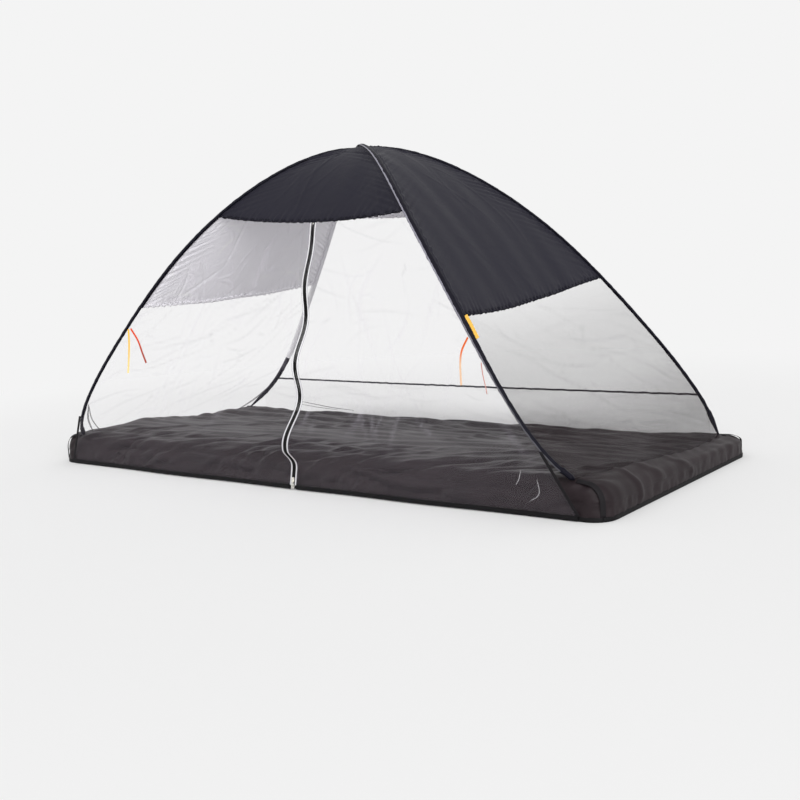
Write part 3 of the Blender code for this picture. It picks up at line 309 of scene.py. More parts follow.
# Half widths at distances from the top, towards the front and towards the back.
SLEEVE_WIDTHS = {
    "lower": ((-1.45, -1.2, -0.6, 0.0, 0.9, 1.2, 1.45),
              (.0125, .0116, .0100, .0085, .0085, .0075, .0065)),
    "upper": ((-1.45, -1.2, -0.9, 0.0, 1.0, 1.2, 1.45),
              (.0060, .0062, .0085, .0085, .0090, .0085, .0075)),
}
# Half widths at distances from the top of that painted highlight strip.
HIGHLIGHT_STRIP_WIDTHS = ((-1.45, -1.2, -0.60, -0.2, 0.0, 0.50, 1.45),
                 (.0026, .0028, .0034, .0030, .0020, .0012, .0012))
# The guides of a quarter of the frame, from the top to the back foot.
POLE_GUIDES = np.array([
    (0.0, 0.0, APEX),
    (0.129, 0.110, APEX),
    (0.385, 0.327, APEX - 0.182),
    (BASE_LENGTH / 2 - 0.389, BASE_WIDTH / 2 - 0.018, BASE_TOP + 0.381),
    (BASE_LENGTH / 2 - 0.177, BASE_WIDTH / 2 + 0.052, BASE_TOP + 0.093),
    (BASE_LENGTH / 2 - 0.113, BASE_WIDTH / 2 - 0.011, BASE_TOP + 0.0165),
])
POLE_KNOTS = [0, 0, 0, 0, 1, 2, 3, 3, 3, 3]
POLE_STEPS = 600
PAST_FOOT = 0.3
WEAVE_TONE = 0.25
YARN_RELIEF = 0.0002
GLOSS_DRIFT = 0.08
CRUMPLE_SIZE = 0.03846


def pole_spline(t):
    """A point of the clamped cubic spline through a quarter of the frame, t from 0 to 3."""
    base = min(int(t), 2)
    work = [POLE_GUIDES[base + k] for k in range(4)]
    for level in range(1, 4):
        for k in range(3, level - 1, -1):
            low, high = POLE_KNOTS[base + k], POLE_KNOTS[base + 4 + k - level]
            share = (t - low) / (high - low)
            work[k] = work[k - 1] * (1 - share) + work[k] * share
    return work[3]


def run_along(line):
    """How far along a line each of its points lies."""
    return np.concatenate([[0.0], np.cumsum(np.linalg.norm(np.diff(line, axis=0), axis=1))])


pole_line = np.array([pole_spline(3 * k / POLE_STEPS) for k in range(POLE_STEPS + 1)])
pole_reach = run_along(pole_line)
ARM_LENGTH = pole_reach[-1]
last_step = pole_line[-1] - pole_line[-2]
past_foot = pole_line[-1] + last_step / np.linalg.norm(last_step) * PAST_FOOT
pole_line = np.vstack([pole_line, past_foot])
pole_reach = np.append(pole_reach, ARM_LENGTH + PAST_FOOT)


def unit(vectors):
    return vectors / np.maximum(np.linalg.norm(vectors, axis=-1, keepdims=True), 1e-12)


def dot(a, b):
    return (a * b).sum(-1, keepdims=True)


def smooth_step(value):
    value = np.clip(value, 0.0, 1.0)
    return value * value * (3 - 2 * value)


def arm_points(arm, reach):
    """Points of the rod's middle at distances from the top, on the arm with these end and
    side signs."""
    x, y, z = (np.interp(reach, pole_reach, pole_line[:, k]) for k in range(3))
    over = 1 if arm[0] * arm[1] < 0 else -1
    lift = over * CROSSING_LIFT * np.exp(-(x * x + y * y) / CROSSING_REACH ** 2)
    return np.stack([arm[0] * x, arm[1] * y, z + lift], -1)


def arm_frames(arm, reach, near=0.002):
    """Along the arm towards its foot, across it, and out from the tent."""
    reach = np.asarray(reach, float)
    along = unit(arm_points(arm, reach + near) - arm_points(arm, np.maximum(reach - near, 0.0)))
    side_wall = np.cross((1.0, 0.0, 0.0), along)
    side_wall *= np.where(side_wall[..., 1:2] * arm[1] + side_wall[..., 2:] > 0, 1, -1)
    end_wall = np.cross((0.0, 1.0, 0.0), along)
    end_wall *= np.where(end_wall[..., :1] * arm[0] + end_wall[..., 2:] > 0, 1, -1)
    out = unit(unit(side_wall) + unit(end_wall))
    return along, unit(np.cross(out, along)), out


def woven(name, yarn, shade, thread=0.0012, gloss=0.6, shine=0.2, crumple=0.0012, drift=0.1111):
    """A plain weave of polyester yarn: matt with a faint gloss, its warp and weft a thread
    apart, drawn at about 1 mm where the real yarns are 0.2 mm. Crumples too slight to model,
    38 mm across and so deep, and the dye's slow drift over a hand's breadth break it up."""
    finish, tree, shader = start_finish(name, {"Specular IOR Level": shine})
    flat = add_node(tree, "TexCoord", out="UV")
    warp, weft = (add_node(tree, "TexWave", {"Vector": flat, "Scale": band_scale(thread)}, 1,
                           bands_direction=way) for way in "XY")
    weave = add_node(tree, "Math", {0: warp, 1: weft}, operation="MULTIPLY")
    cloudy = add_node(tree, "TexNoise", {"Vector": flat, "Scale": 1 / drift, "Detail": 4.0})
    tone = add_node(tree, "Math", {0: weave, 1: WEAVE_TONE, 2: cloudy}, operation="MULTIPLY_ADD")
    tint = add_node(tree, "Mix", {0: tone, 6: colour(shade), 7: colour(yarn)}, 2,
                    data_type="RGBA")
    rough = add_node(tree, "MapRange", {0: cloudy, 3: gloss - GLOSS_DRIFT,
                                        4: gloss + GLOSS_DRIFT})
    fine = add_node(tree, "Bump", {"Height": weave, "Strength": 0.15, "Distance": YARN_RELIEF})
    crushed = add_node(tree, "TexNoise", {"Vector": flat, "Scale": 1 / CRUMPLE_SIZE,
                                          "Detail": 2.0, "Roughness": 0.45, "Distortion": 0.8})
    relief = add_node(tree, "Bump", {"Height": crushed, "Strength": 0.5, "Distance": crumple,
                                     "Normal": fine})
    feed(shader, {"Base Color": tint, "Roughness": rough, "Normal": relief})
    return finish


def blend_dye(finish, share, under=None, over=None):
    """Turns a woven finish from the colour under to the colour over by a share. Where one of
    them isn't given, it is the finish's own dye."""
    base = finish.node_tree.nodes["Principled BSDF"].inputs["Base Color"]
    dye = base.links[0].from_socket
    tint = add_node(finish.node_tree, "Mix", {0: share, 6: under or dye, 7: over or dye}, 2,
                    data_type="RGBA")
    finish.node_tree.links.new(tint, base)


def mesh_piece(name, points, faces, flat, finishes, thickness=0.0, folds=None):
    """A smooth mesh from its points, quads and flat places in metres, thickened if cloth. The
    second finish goes on the inner side, and folds says where a finish is doubled, or where
    creases get painted highlights."""
    mesh = bpy.data.meshes.new(name)
    mesh.from_pydata(points.tolist(), [], faces)
    layer = mesh.uv_layers.new(name="flat")
    corners = np.empty(len(mesh.loops), np.int32)
    mesh.loops.foreach_get("vertex_index", corners)
    layer.uv.foreach_set("vector", flat[corners].astype(np.float32).ravel())
    if folds is not None:
        layer = mesh.attributes.new("folds", "FLOAT", "POINT")
        layer.data.foreach_set("value", folds.astype(np.float32).ravel())
    for finish in finishes:
        mesh.materials.append(finish)
    mesh.shade_smooth()
    made = bpy.data.objects.new(name, mesh)
    bpy.context.scene.collection.objects.link(made)
    if thickness:
        body = made.modifiers.new("cloth thickness", "SOLIDIFY")
        body.thickness = thickness
        body.offset = 0.0
        body.material_offset = len(finishes) - 1
        made.modifiers.new("flat edges", "WEIGHTED_NORMAL")
    return made


def tube(name, rings, finish):
    """A closed skin round rings of points, capped at both ends."""
    count, around = rings.shape[:2]
    faces = []
    for i in range(count - 1):
        for j in range(around):
            k = (j + 1) % around
            faces.append((i * around + j, i * around + k,
                          (i + 1) * around + k, (i + 1) * around + j))
    faces.append(tuple(reversed(range(around))))
    faces.append(tuple(range((count - 1) * around, count * around)))
    middle = rings[count // 2]
    girth = np.linalg.norm(np.diff(middle, axis=0, append=middle[:1]), axis=1).cumsum()
    flat = np.stack(np.meshgrid(girth, run_along(rings.mean(1))), -1).reshape(-1, 2)
    return mesh_piece(name, rings.reshape(-1, 3), faces, flat, [finish])


def full_turn(count):
    """The angles of evenly spaced points round a ring."""
    return np.linspace(0, 2 * math.pi, count, endpoint=False)


def rings_round(line, side, up, wide, tall):
    """Rings of points that stand off a line, so far to its side and so far up."""
    return (line[..., None, :] + side[..., None, :] * wide[..., None]
            + up[..., None, :] * tall[..., None])


def ripples(u, v, seed, size, turn=(0.0, math.pi), count=7):
    """A soft random swell over a flat panel, from waves about one size long that run in
    directions within a turn. It stays mostly within 1 either way."""
    dice = np.random.default_rng(seed)
    total = np.zeros(np.broadcast(u, v).shape)
    for _ in range(count):
        way = dice.uniform(*turn)
        pitch = 2 * math.pi / (size * dice.uniform(0.6, 1.7))
        along = u * math.cos(way) + v * math.sin(way)
        total += np.sin(pitch * along + dice.uniform(0, 2 * math.pi))
    return total / math.sqrt(count)


def creases(u, v, seed, count, length, width, turn=(0.0, math.pi), area=None):
    """Sharp, nearly straight creases at random places in an area of a flat panel, from 0 to
    about 1."""
    dice = np.random.default_rng(seed)
    total = np.zeros(np.broadcast(u, v).shape)
    across, down = area or ((u.min(), u.max()), (v.min(), v.max()))
    for _ in range(count):
        from_u = u - dice.uniform(*across)
        from_v = v - dice.uniform(*down)
        way = dice.uniform(*turn)
        half = dice.uniform(*length) / 2
        wide = dice.uniform(*width)
        along = from_u * math.cos(way) + from_v * math.sin(way)
        off = from_v * math.cos(way) - from_u * math.sin(way)
        off = off + dice.uniform(-0.3, 0.3) * along ** 2 / half
        ends = np.clip(1 - (along / half) ** 2, 0, 1)
        total += dice.uniform(0.3, 1.0) * np.exp(-(off / wide) ** 2) * ends ** 1.5
    return total


def pole_frames(pole):
    """Middles, sideways and outward directions from one foot over the top to the other, and
    the distances from the top, towards the front counted as less than nothing."""
    first, second = POLES[pole]
    reach = np.linspace(0.0, ARM_LENGTH, int(ARM_LENGTH / SLEEVE_STEP) + 1)
    _, across_a, out_a = arm_frames(first, reach[:0:-1])
    _, across_b, out_b = arm_frames(second, reach)
    middles = np.vstack([arm_points(first, reach[:0:-1]), arm_points(second, reach)])
    across = np.vstack([-across_a, across_b])
    return middles, across, np.vstack([out_a, out_b]), np.append(-reach[:0:-1], reach)


sleeve_cloth = woven("polyester_sleeve_tape_navy_black", "14131D", "0A0914", gloss=0.5,
                     shine=0.1, crumple=0.0009)
turn = full_turn(24)
for pole, seed in SLEEVE_SEEDS.items():
    middles, across, out, reach = pole_frames(pole)
    run = np.arange(len(middles))[:, None] * SLEEVE_STEP
    half_width = np.interp(reach, *SLEEVE_WIDTHS[pole])[:, None]
    crinkle = 1.0
    for number, (depth, size, girth) in enumerate((LONG_CRINKLE, SHORT_CRINKLE)):
        crinkle = crinkle + depth * ripples(run, turn[None] * girth, seed + 2 * number, size)
    wide = np.cos(turn) * half_width * crinkle
    # The seams press the tube flatter at its sides than an oval.
    tall = np.sin(turn) * np.abs(np.sin(turn)) ** 0.3 * SLEEVE_HALF_HEIGHT * crinkle
    rings = rings_round(middles, across, out, wide, tall)
    sleeve = tube("sleeve_" + pole + "_cloth", rings, sleeve_cloth)
    fasten(sleeve, "sleeve_" + pole)

# Towards the front foot the painted highlight strip darkens to a dark grey, where the sheen fades.
sheen_highlight_cloth = woven("polyester_sleeve_sheen_painted_highlight", "8C8A94", "757380", thread=0.0008, gloss=0.45)
tree = sheen_highlight_cloth.node_tree
down = add_node(tree, "SeparateXYZ", {0: add_node(tree, "TexCoord", out="UV")}, "Y")
blend_dye(sheen_highlight_cloth, add_node(tree, "MapRange", {0: down, 1: 0.15, 2: 0.65}),
          under=colour("4A494F"))
# A pale strip along the upper sleeve's front seam: a painted highlight of the satin tape's sheen.
middles, across, out, reach = pole_frames("upper")
turn = full_turn(10)
half_width = np.interp(reach, *SLEEVE_WIDTHS["upper"])[:, None]
band = np.interp(reach, *HIGHLIGHT_STRIP_WIDTHS)[:, None]
front_side = middles + across * (half_width - band * 0.7) + out * (SLEEVE_HALF_HEIGHT * 0.55)
rings = rings_round(front_side, across, out, np.cos(turn) * band, np.sin(turn) * HIGHLIGHT_STRIP_THICK)
highlight_strip = tube("sleeve_upper_painted_highlight", rings, sheen_highlight_cloth)
fasten(highlight_strip)


# Base cover
# A fitted sheet of black-charcoal polyester that goes round the mattress: a top panel with
# rounded shoulders, four side skirts and a bound lower edge. It lies loose, in long soft
# folds, and its corners are gathered.

SEAM_HEIGHT = 0.045
SHOULDER = 0.045
CORNER = 0.058
CORNER_X = BASE_LENGTH / 2 - CORNER
CORNER_Y = BASE_WIDTH / 2 - CORNER
CORNER_STEPS = 8
COVER_CLOTH = 0.0012
COVER_STEP = 0.007
CLOTH_MIDDLE = 0.0008  # under its top: half the thickness of the CAD's cloth
BACK_FALL = 0.036
FALL_START = -0.24
FALL_LENGTH = 0.64
BROAD_FOLD = 0.0045
LONG_WRINKLE = 0.0020
CORNER_GATHER = 0.0024
WALL_FOLD = 0.0055
WALL_SINK = 0.0050
SHOULDER_SINK = 0.0110
CALM_ENDS = 0.85
BINDING_HEIGHT = 0.012
BINDING_THICK = 0.004
BINDING_LAP = 0.004
HEM_WAVE = 0.0008
WHOLE_COVER = ((-1.12, 1.12), (-0.55, 0.52))
FRONT_WALL = ((-0.98, 0.98), (-0.56, -0.28))
LOW_FRONT = ((-1.00, 1.00), (-0.56, -0.49))
# Height, seed, number, lengths, widths, directions and area of each kind of sharp fold.
COVER_FOLDS = (
    (0.0050, 22, 36, (0.20, 0.80), (0.010, 0.026), (0.10, 1.10), WHOLE_COVER),
    (0.0070, 23, 44, (0.12, 0.50), (0.007, 0.016), (0.30, 1.15), FRONT_WALL),
    (-0.0090, 25, 44, (0.12, 0.50), (0.008, 0.020), (0.25, 1.10), FRONT_WALL),
    (0.0060, 29, 34, (0.06, 0.30), (0.006, 0.013), (0.15, 0.90), LOW_FRONT),
    (-0.0060, 30, 34, (0.06, 0.30), (0.006, 0.013), (0.20, 1.40), LOW_FRONT),
    (-0.0018, 24, 70, (0.08, 0.30), (0.006, 0.012), (0.0, math.pi), WHOLE_COVER),
)
# Height, place across and width of the humps at the head end.
HEAD_HUMPS = ((0.013, -0.12, 0.07), (0.008, 0.30, 0.05))

cover_cloth = woven("polyester_cover_black_charcoal", "2D2528", "171214", gloss=0.44, shine=0.12,
                    crumple=0.0018, drift=0.2)
binding_tape = woven("polyester_binding_black", "121113", "0A090B", gloss=0.6, shine=0.15)


def cover_inset(x, y):
    """How far a place lies inside the cover's rounded outline."""
    over_x = abs(x) - CORNER_X
    over_y = abs(y) - CORNER_Y
    in_corner = (over_x > 0) & (over_y > 0)
    return CORNER - np.where(in_corner, np.hypot(over_x, over_y), np.maximum(over_x, over_y))


def cover_height(x, y):
    """The cloth's middle over the mattress, which lies lower along the back."""
    top = BASE_TOP - CLOTH_MIDDLE - BACK_FALL * smooth_step((y - FALL_START) / FALL_LENGTH)
    share = np.clip(cover_inset(x, y) / SHOULDER, 0.0, 1.0)
    return SEAM_HEIGHT + (top - SEAM_HEIGHT) * np.sqrt(1 - (1 - share) ** 2)


def unrolled(x, y, z):
    """A place on the cover as if its sides lay flat beside its top."""
    over_x = np.maximum(abs(x) - CORNER_X, 0.0)
    over_y = np.maximum(abs(y) - CORNER_Y, 0.0)
    reach = np.maximum(np.hypot(over_x, over_y), 1e-9)
    down = np.maximum(BASE_TOP - z, 0.0) * smooth_step(reach / CORNER)
    return x + np.sign(x) * over_x / reach * down, y + np.sign(y) * over_y / reach * down


def cover_relief(x, y, z):
    """How far the loose cloth stands off the mattress: broad folds, long wrinkles, slanting
    ones drawn from the front, crumples, humps at the head end and gathers at the corners.
    The front wall hangs in low folds, and both ends lie calmer."""
    u, v = unrolled(x, y, z)
    lengthwise = np.sin(11.0 * v + 1.7 * np.sin(2.1 * u + 0.4))
    broad = 0.62 * lengthwise + 0.38 * np.sin(7.3 * u - 15.0 * v + 0.9)
    relief = BROAD_FOLD * smooth_step((cover_inset(x, y) - 0.090) / 0.120) * broad
    calm = 1 - CALM_ENDS * smooth_step((abs(u) - 0.92) / 0.12)
    relief += LONG_WRINKLE * calm * ripples(u * 0.35, v, 21, 0.080, (1.1, 2.0))
    for height, *fold in COVER_FOLDS:
        relief += height * creases(u, v, *fold)
    for height, across, width in HEAD_HUMPS:
        relief += height * np.exp(-((v - across) / width) ** 2 - ((u + 1.05) / 0.10) ** 2)
    side = BASE_LENGTH / 2 - 0.10 - abs(x)
    end = BASE_WIDTH / 2 - 0.03 - abs(y)
    corner = np.hypot(side, end)
    gather = np.sin(15 * np.arctan2(end, side) + 60 * corner) * smooth_step(corner / 0.03)
    relief += CORNER_GATHER * np.exp(-corner / 0.07) * gather
    wall = smooth_step((0.099 - z) / 0.025) * smooth_step(corner / 0.18)
    hang = WALL_FOLD * ripples(u * 0.5, v, 28, 0.085, (0.9, 1.5)) - WALL_SINK
    relief += wall * calm * hang
    slope = np.exp(-((abs(v) - 0.455) / 0.040) ** 2) + np.exp(-((abs(u) - 1.045) / 0.040) ** 2)
    relief -= SHOULDER_SINK * np.minimum(slope, 1.0) * (1 - np.exp(-(corner / 0.14) ** 2))
    # It stands off less on the walls and under the corners, and lies flat at its lower edge.
    most = 0.011 - 0.0070 * smooth_step((0.088 - z) / 0.035)
    most = most - 0.0085 * np.exp(-(corner / 0.10) ** 2)
    return np.minimum(relief, np.maximum(most, 0.0010)) * smooth_step((z - 0.012) / 0.020)


def sheet_grid(name, points, finishes, thickness, outward, folds=None, flat=None):
    """A cloth panel over a grid of middle points, its faces turned towards outward."""
    rows, columns = points.shape[:2]
    if flat is None:
        flat = flat_places(points)
    spread = np.cross(points[0, -1] - points[0, 0] + points[-1, -1] - points[-1, 0],
                      points[-1, columns // 2] - points[0, columns // 2])
    turned = (spread @ np.asarray(outward, float)) > 0
    faces = []
    for i in range(rows - 1):
        for j in range(columns - 1):
            a = i * columns + j
            ring = (a, a + 1, a + columns + 1, a + columns)
            faces.append(ring if turned else ring[::-1])
    return mesh_piece(name, points.reshape(-1, 3), faces, flat.reshape(-1, 2), finishes,
                      thickness, folds)


def flat_places(points):
    """Each grid point's place on the cloth laid flat, in metres from its top middle."""
    across = np.linalg.norm(np.diff(points, axis=1), axis=2)
    across = np.concatenate([np.zeros((len(points), 1)), np.cumsum(across, axis=1)], axis=1)
    across -= across[:, -1:] / 2
    down = np.linalg.norm(np.diff(points, axis=0), axis=2).mean(1)
    down = np.concatenate([[0.0], np.cumsum(down)])
    return np.stack([across, np.broadcast_to(down[:, None], across.shape)], -1)


def surface_normals(points, outward):
    """Unit normals of a grid of points, on the side that outward points to."""
    normals = unit(np.cross(np.gradient(points, axis=1), np.gradient(points, axis=0)))
    return normals * np.where(dot(normals, np.asarray(outward, float)) < 0, -1, 1)


def declare_cloth(smooth):
    """Lays a panel's smooth surface out flat, and keeps nothing of it."""
    flat = flat_places(smooth)


def round_corner(x, y):
    """Draws a rectangular grid in to the cover's round corners."""
    over_x = (abs(x) - CORNER_X) / CORNER
    over_y = (abs(y) - CORNER_Y) / CORNER
    inside = (over_x > 0) & (over_y > 0)
    disc_x = over_x * np.sqrt(np.clip(1 - over_y ** 2 / 2, 0, 1))
    disc_y = over_y * np.sqrt(np.clip(1 - over_x ** 2 / 2, 0, 1))
    round_x = np.copysign(CORNER_X + CORNER * disc_x, x)
    round_y = np.copysign(CORNER_Y + CORNER * disc_y, y)
    return np.where(inside, round_x, x), np.where(inside, round_y, y)


def shouldered(half):
    """Grid lines across the cover, closer together over its rounded shoulders."""
    rim = half - CORNER * (1 - np.cos(np.linspace(0, math.pi / 2, 13)))
    count = int(2 * (half - CORNER) / COVER_STEP) + 1
    middle = np.linspace(-(half - CORNER), half - CORNER, count)
    return np.concatenate([-rim[:-1], middle, rim[:-1][::-1]])


grid_x, grid_y = np.meshgrid(shouldered(BASE_LENGTH / 2), shouldered(BASE_WIDTH / 2))
grid_x, grid_y = round_corner(grid_x, grid_y)
smooth = np.stack([grid_x, grid_y, cover_height(grid_x, grid_y)], -1)
core = np.stack([np.clip(grid_x, -0.95, 0.95), np.clip(grid_y, -0.36, 0.36), grid_x * 0], -1)
relief = cover_relief(*np.moveaxis(smooth, -1, 0))
cover_top = smooth + surface_normals(smooth, smooth - core) * relief[..., None]
floor_cloth = sheet_grid("floor_panel_cloth", cover_top, [cover_cloth], COVER_CLOTH, (0, 0, 1),
                         flat=np.stack([grid_x, grid_y], -1))
fasten(floor_cloth, "floor_panel")


def outline_point(turn_share):
    """The cover's rounded outline, counter-clockwise: a point and its outward side."""
    corner = int(turn_share) % 4
    sign_x, sign_y = ((1, 1), (-1, 1), (-1, -1), (1, -1))[corner]
    turn = math.pi / 2 * (corner + turn_share % 1.0)
    out = np.array((math.cos(turn), math.sin(turn)))
    return np.array((sign_x * CORNER_X, sign_y * CORNER_Y)) + out * CORNER, out


def side_outline(face):
    """Half a corner, the straight run and half a corner of one side of the outline."""
    middle = {"front": 3, "foot": 4, "back": 1, "head": 2}[face]
    turns = [0.5 * k / CORNER_STEPS for k in range(CORNER_STEPS + 1)]
    first = [outline_point(middle - 0.5 + turn) for turn in turns[:-1]]
    second = [outline_point(middle + turn) for turn in turns]
    end, out = second[0]
    along = np.array((-out[1], out[0]))
    run = (BASE_LENGTH if face in ("front", "back") else BASE_WIDTH) - 2 * CORNER
    count = int(run / COVER_STEP)
    straight = [(end - along * (run * (1 - k / count)), out) for k in range(count)]
    path = first + straight + second
    return np.array([p for p, _ in path]), np.array([o for _, o in path])


def squared(turn):
    """A sine or cosine drawn out towards a square."""
    return np.sign(turn) * np.abs(turn) ** 0.5


edge_turn = full_turn(12)
edge_off = squared(np.cos(edge_turn)) * BINDING_THICK / 2
edge_up = squared(np.sin(edge_turn)) * BINDING_HEIGHT / 2
heights = np.linspace(SEAM_HEIGHT, BINDING_HEIGHT - BINDING_LAP, 8)
for number, face in enumerate(("front", "back", "head", "foot")):
    path, outs = side_outline(face)
    points = np.empty((len(heights), len(path), 3))
    points[..., :2] = path[None]
    points[..., 2] = heights[:, None]
    relief = cover_relief(*np.moveaxis(points, -1, 0))
    wave = ripples(run_along(path)[None], heights[:, None], 41 + number, 0.030, (-0.5, 0.5))
    relief += HEM_WAVE * wave * smooth_step((SEAM_HEIGHT - heights) / 0.012)[:, None]
    points[..., :2] += outs[None] * relief[..., None]
    outward = (*outs[len(outs) // 2], 0)
    skirt = sheet_grid("skirt_" + face + "_cloth", points, [cover_cloth], COVER_CLOTH, outward)
    rings = np.empty((len(path), len(edge_turn), 3))
    rings[..., :2] = path[:, None] + outs[:, None] * edge_off[None, :, None]
    rings[..., 2] = BINDING_HEIGHT / 2 + edge_up
    binding = tube("base_binding_" + face + "_tape", rings, binding_tape)
    fasten(skirt, "skirt_" + face)
    fasten(binding, "base_binding_" + face)
    declare_cloth(points)
declare_cloth(smooth)


# Foot pockets and corner straps
# Each rod ends in a small doubled pocket of sleeve cloth that sits on the cover's corner. A
# strap of black webbing is sewn to its toe and runs over the corner to the lower edge.

POCKET_RADIUS = 0.0074
POCKET_TOE_RADIUS = 0.0030
POCKET_BORE_END = 0.0192
POCKET_LENGTHS = {-1: 0.0292, 1: 0.0765}  # at the front and at the back
POCKET_MOUTH = 0.012
POCKET_TUCK = 0.07
STRAP_WIDTH = 0.014
STRAP_GAP = 0.0004
STRAP_LAP = 0.008
STRAP_STEPS = 24
WEBBING = 0.0012

webbing = woven("polyester_webbing_black", "1C191C", "0E0D0F", thread=0.0016, gloss=0.65,
                shine=0.15, crumple=0.0004)


def on_cover(plan, lift):
    """A place over the cover's shoulder above a plan point, and the way out from it."""
    over = np.maximum(np.abs(plan) - (CORNER_X, CORNER_Y), 0.0)
    away = unit(over) * np.sign(plan)
    lean = 1 - min(max(float(cover_inset(*plan)) / SHOULDER, 0.0), 1.0)
    rise = float(cover_height(0.0, plan[1])) - SEAM_HEIGHT
    level = math.sqrt(1 - lean * lean) * SHOULDER
    normal = unit(np.array((away[0] * lean * rise, away[1] * lean * rise, level)))
    return np.array((plan[0], plan[1], float(cover_height(*plan)))) + normal * lift, normal


def tape_section(shoulder):
    """A flat tape's section with worn edges, in half widths and half thicknesses."""
    return np.array([(-1, -.6), (-shoulder, -1), (shoulder, -1), (1, -.6),
                     (1, .6), (shoulder, 1), (-shoulder, 1), (-1, .6)]).T


edge_wide, edge_tall = tape_section(0.92)
turn = full_turn(20)
for number, (corner, arm) in enumerate(CORNERS.items()):
    length = POCKET_LENGTHS[arm[1]]
    along, across, out = arm_frames(arm, ARM_LENGTH)
    far = np.linspace(-POCKET_MOUTH, length, 26)[:, None]
    knots = (-POCKET_MOUTH, -POCKET_MOUTH / 2, 0.0,
             POCKET_BORE_END, (POCKET_BORE_END + length) / 2, length)
    radii = (0.0086, 0.0084, POCKET_RADIUS, POCKET_RADIUS, 0.0053, POCKET_TOE_RADIUS)
    tuck = POCKET_TUCK * np.sin(6 * turn[None] + 30 * far + number) * smooth_step(far / 0.02)
    radius = np.interp(far, knots, radii) * (1 + tuck)
    mouth = np.interp(far, (-POCKET_MOUTH, 0.0), (0.78, 1.0))
    middles = arm_points(arm, ARM_LENGTH) + far * along
    rings = rings_round(middles, across, out, np.cos(turn) * radius, np.sin(turn) * radius * mouth)
    pocket = tube("foot_pocket_" + corner + "_cloth", rings, sleeve_cloth)

    toe = arm_points(arm, ARM_LENGTH + length)[:2]
    hub = np.array(arm) * (CORNER_X, CORNER_Y)
    rim = hub + unit(np.array(arm, float)) * CORNER
    start = toe + (rim - toe) * (STRAP_LAP / np.linalg.norm(toe - rim))
    lift = CLOTH_MIDDLE + STRAP_GAP + WEBBING / 2
    path = [on_cover(start + (rim - start) * math.sin(math.pi / 2 * k / STRAP_STEPS), lift)
            for k in range(STRAP_STEPS + 1)]
    low, normal = path[-1]
    path += [(np.array((low[0], low[1], z)), normal)
             for z in (0.036, 0.027, 0.019, BINDING_HEIGHT + 0.0006)]
    line = np.array([p for p, _ in path])
    normals = np.array([n for _, n in path])
    forward = unit(np.gradient(line, axis=0))
    across = unit(np.cross(forward, normals))
    rings = rings_round(line, across, unit(np.cross(across, forward)),
                        edge_wide * STRAP_WIDTH / 2, edge_tall * WEBBING / 2)
    strap = tube("corner_strap_" + corner + "_webbing", rings, webbing)
    fasten(pocket, "foot_pocket_" + corner)
    fasten(strap, "corner_strap_" + corner)


# Roof panels and their bound hems
# Four panels of charcoal polyester taffeta, silver-grey coated inside, cut to the arches and
# sewn to the sleeves: short at the front and back, long at the head and foot. The seams draw
# short puckers along the ridges, and the black binding gathers each hem.

# How far down the left and right rods a hem ends, how far in and down its middle lies, and
# the share by which it hangs deeper towards its right.
HEMS = {
    "front": (0.515, 0.555, 0.006, 0.024, 0.0),
    "back": (0.535, 0.535, 0.014, 0.018, 0.0),
    "foot": (0.950, 0.890, 0.011, 0.017, -0.55),
    "head": (0.885, 0.910, 0.009, 0.012, 0.0),
}
ARMS_OF = {
    "front": ((-1, -1), (1, -1)),
    "foot": ((1, -1), (1, 1)),
    "back": ((1, 1), (-1, 1)),
    "head": ((-1, 1), (-1, -1)),
}
OUTWARD = {
    "front": (0, -0.8, 0.6), "back": (0, 0.8, 0.6), "head": (-0.8, 0, 0.6), "foot": (0.8, 0, 0.6),
}
HEM_BINDING = 0.012
HEM_BINDING_THICK = 0.0026
HEM_LINES = 5
HEM_NIP = 0.0016
HEM_COCKLE = 0.0007
HEM_SCALLOP = 0.0009
ROOF_CLOTH = 0.0007
ROOF_STEP = 0.008
ROOF_CLOSING = 0.94
ROOF_SWELL = 0.0008
END_FOLD = 0.0015
SEAM_TUCK = 0.005
SEAM_PUCKER = 0.0036
SEAM_ROLL = 0.0014
LAP_TURNS = (1.25, 1.5, 1.75, 2.0)
LAP_OFF = {"front": 0.0034, "back": 0.0034, "foot": 0.0022, "head": 0.0022}
GATHERS = {"front": 0.0026, "back": 0.0026, "foot": 0.0022, "head": 0.0022}
CREASES = {"front": 0.0014, "back": 0.0018, "foot": 0.0010, "head": 0.0030}

roof_outside = woven("polyester_taffeta_charcoal", "26252E", "1F1E27", gloss=0.5, shine=0.09,
                     crumple=0.0014)
# Along a set of sharp crease lines the silver coating is painted whiter: painted highlights on the
# crinkles.
roof_inside = woven("polyester_taffeta_silver_coating", "FBF9FE", "F2F0F6", gloss=0.5,
                    crumple=0.0022)
crease_highlight = add_node(roof_inside.node_tree, "Attribute", out="Fac", attribute_name="folds")
blend_dye(roof_inside, crease_highlight, over=colour("FFFFFF"))


def panel_edges(face, left_reach, right_reach):
    """Both ends of a panel's rows, caught in the seams beside the two sleeves."""
    left, right = ARMS_OF[face]
    a = arm_points(left, left_reach)
    b = arm_points(right, right_reach)
    towards = unit(b - a)
    edges = []
    ends = ((left, left_reach, a, towards), (right, right_reach, b, -towards))
    for arm, reach, start, way in ends:
        along, across, out = arm_frames(arm, reach)
        flat_way = way - along * dot(way, along)
        lean = np.linalg.norm(flat_way, axis=-1, keepdims=True)
        off = (dot(flat_way, across) / lean / SLEEVE_HALF_WIDTH) ** 2
        off = off + (dot(flat_way, out) / lean / SLEEVE_HALF_HEIGHT) ** 2
        radius = 1 / np.sqrt(off)
        edges.append(start + way * ((radius - SEAM_TUCK) / lean))
    return edges


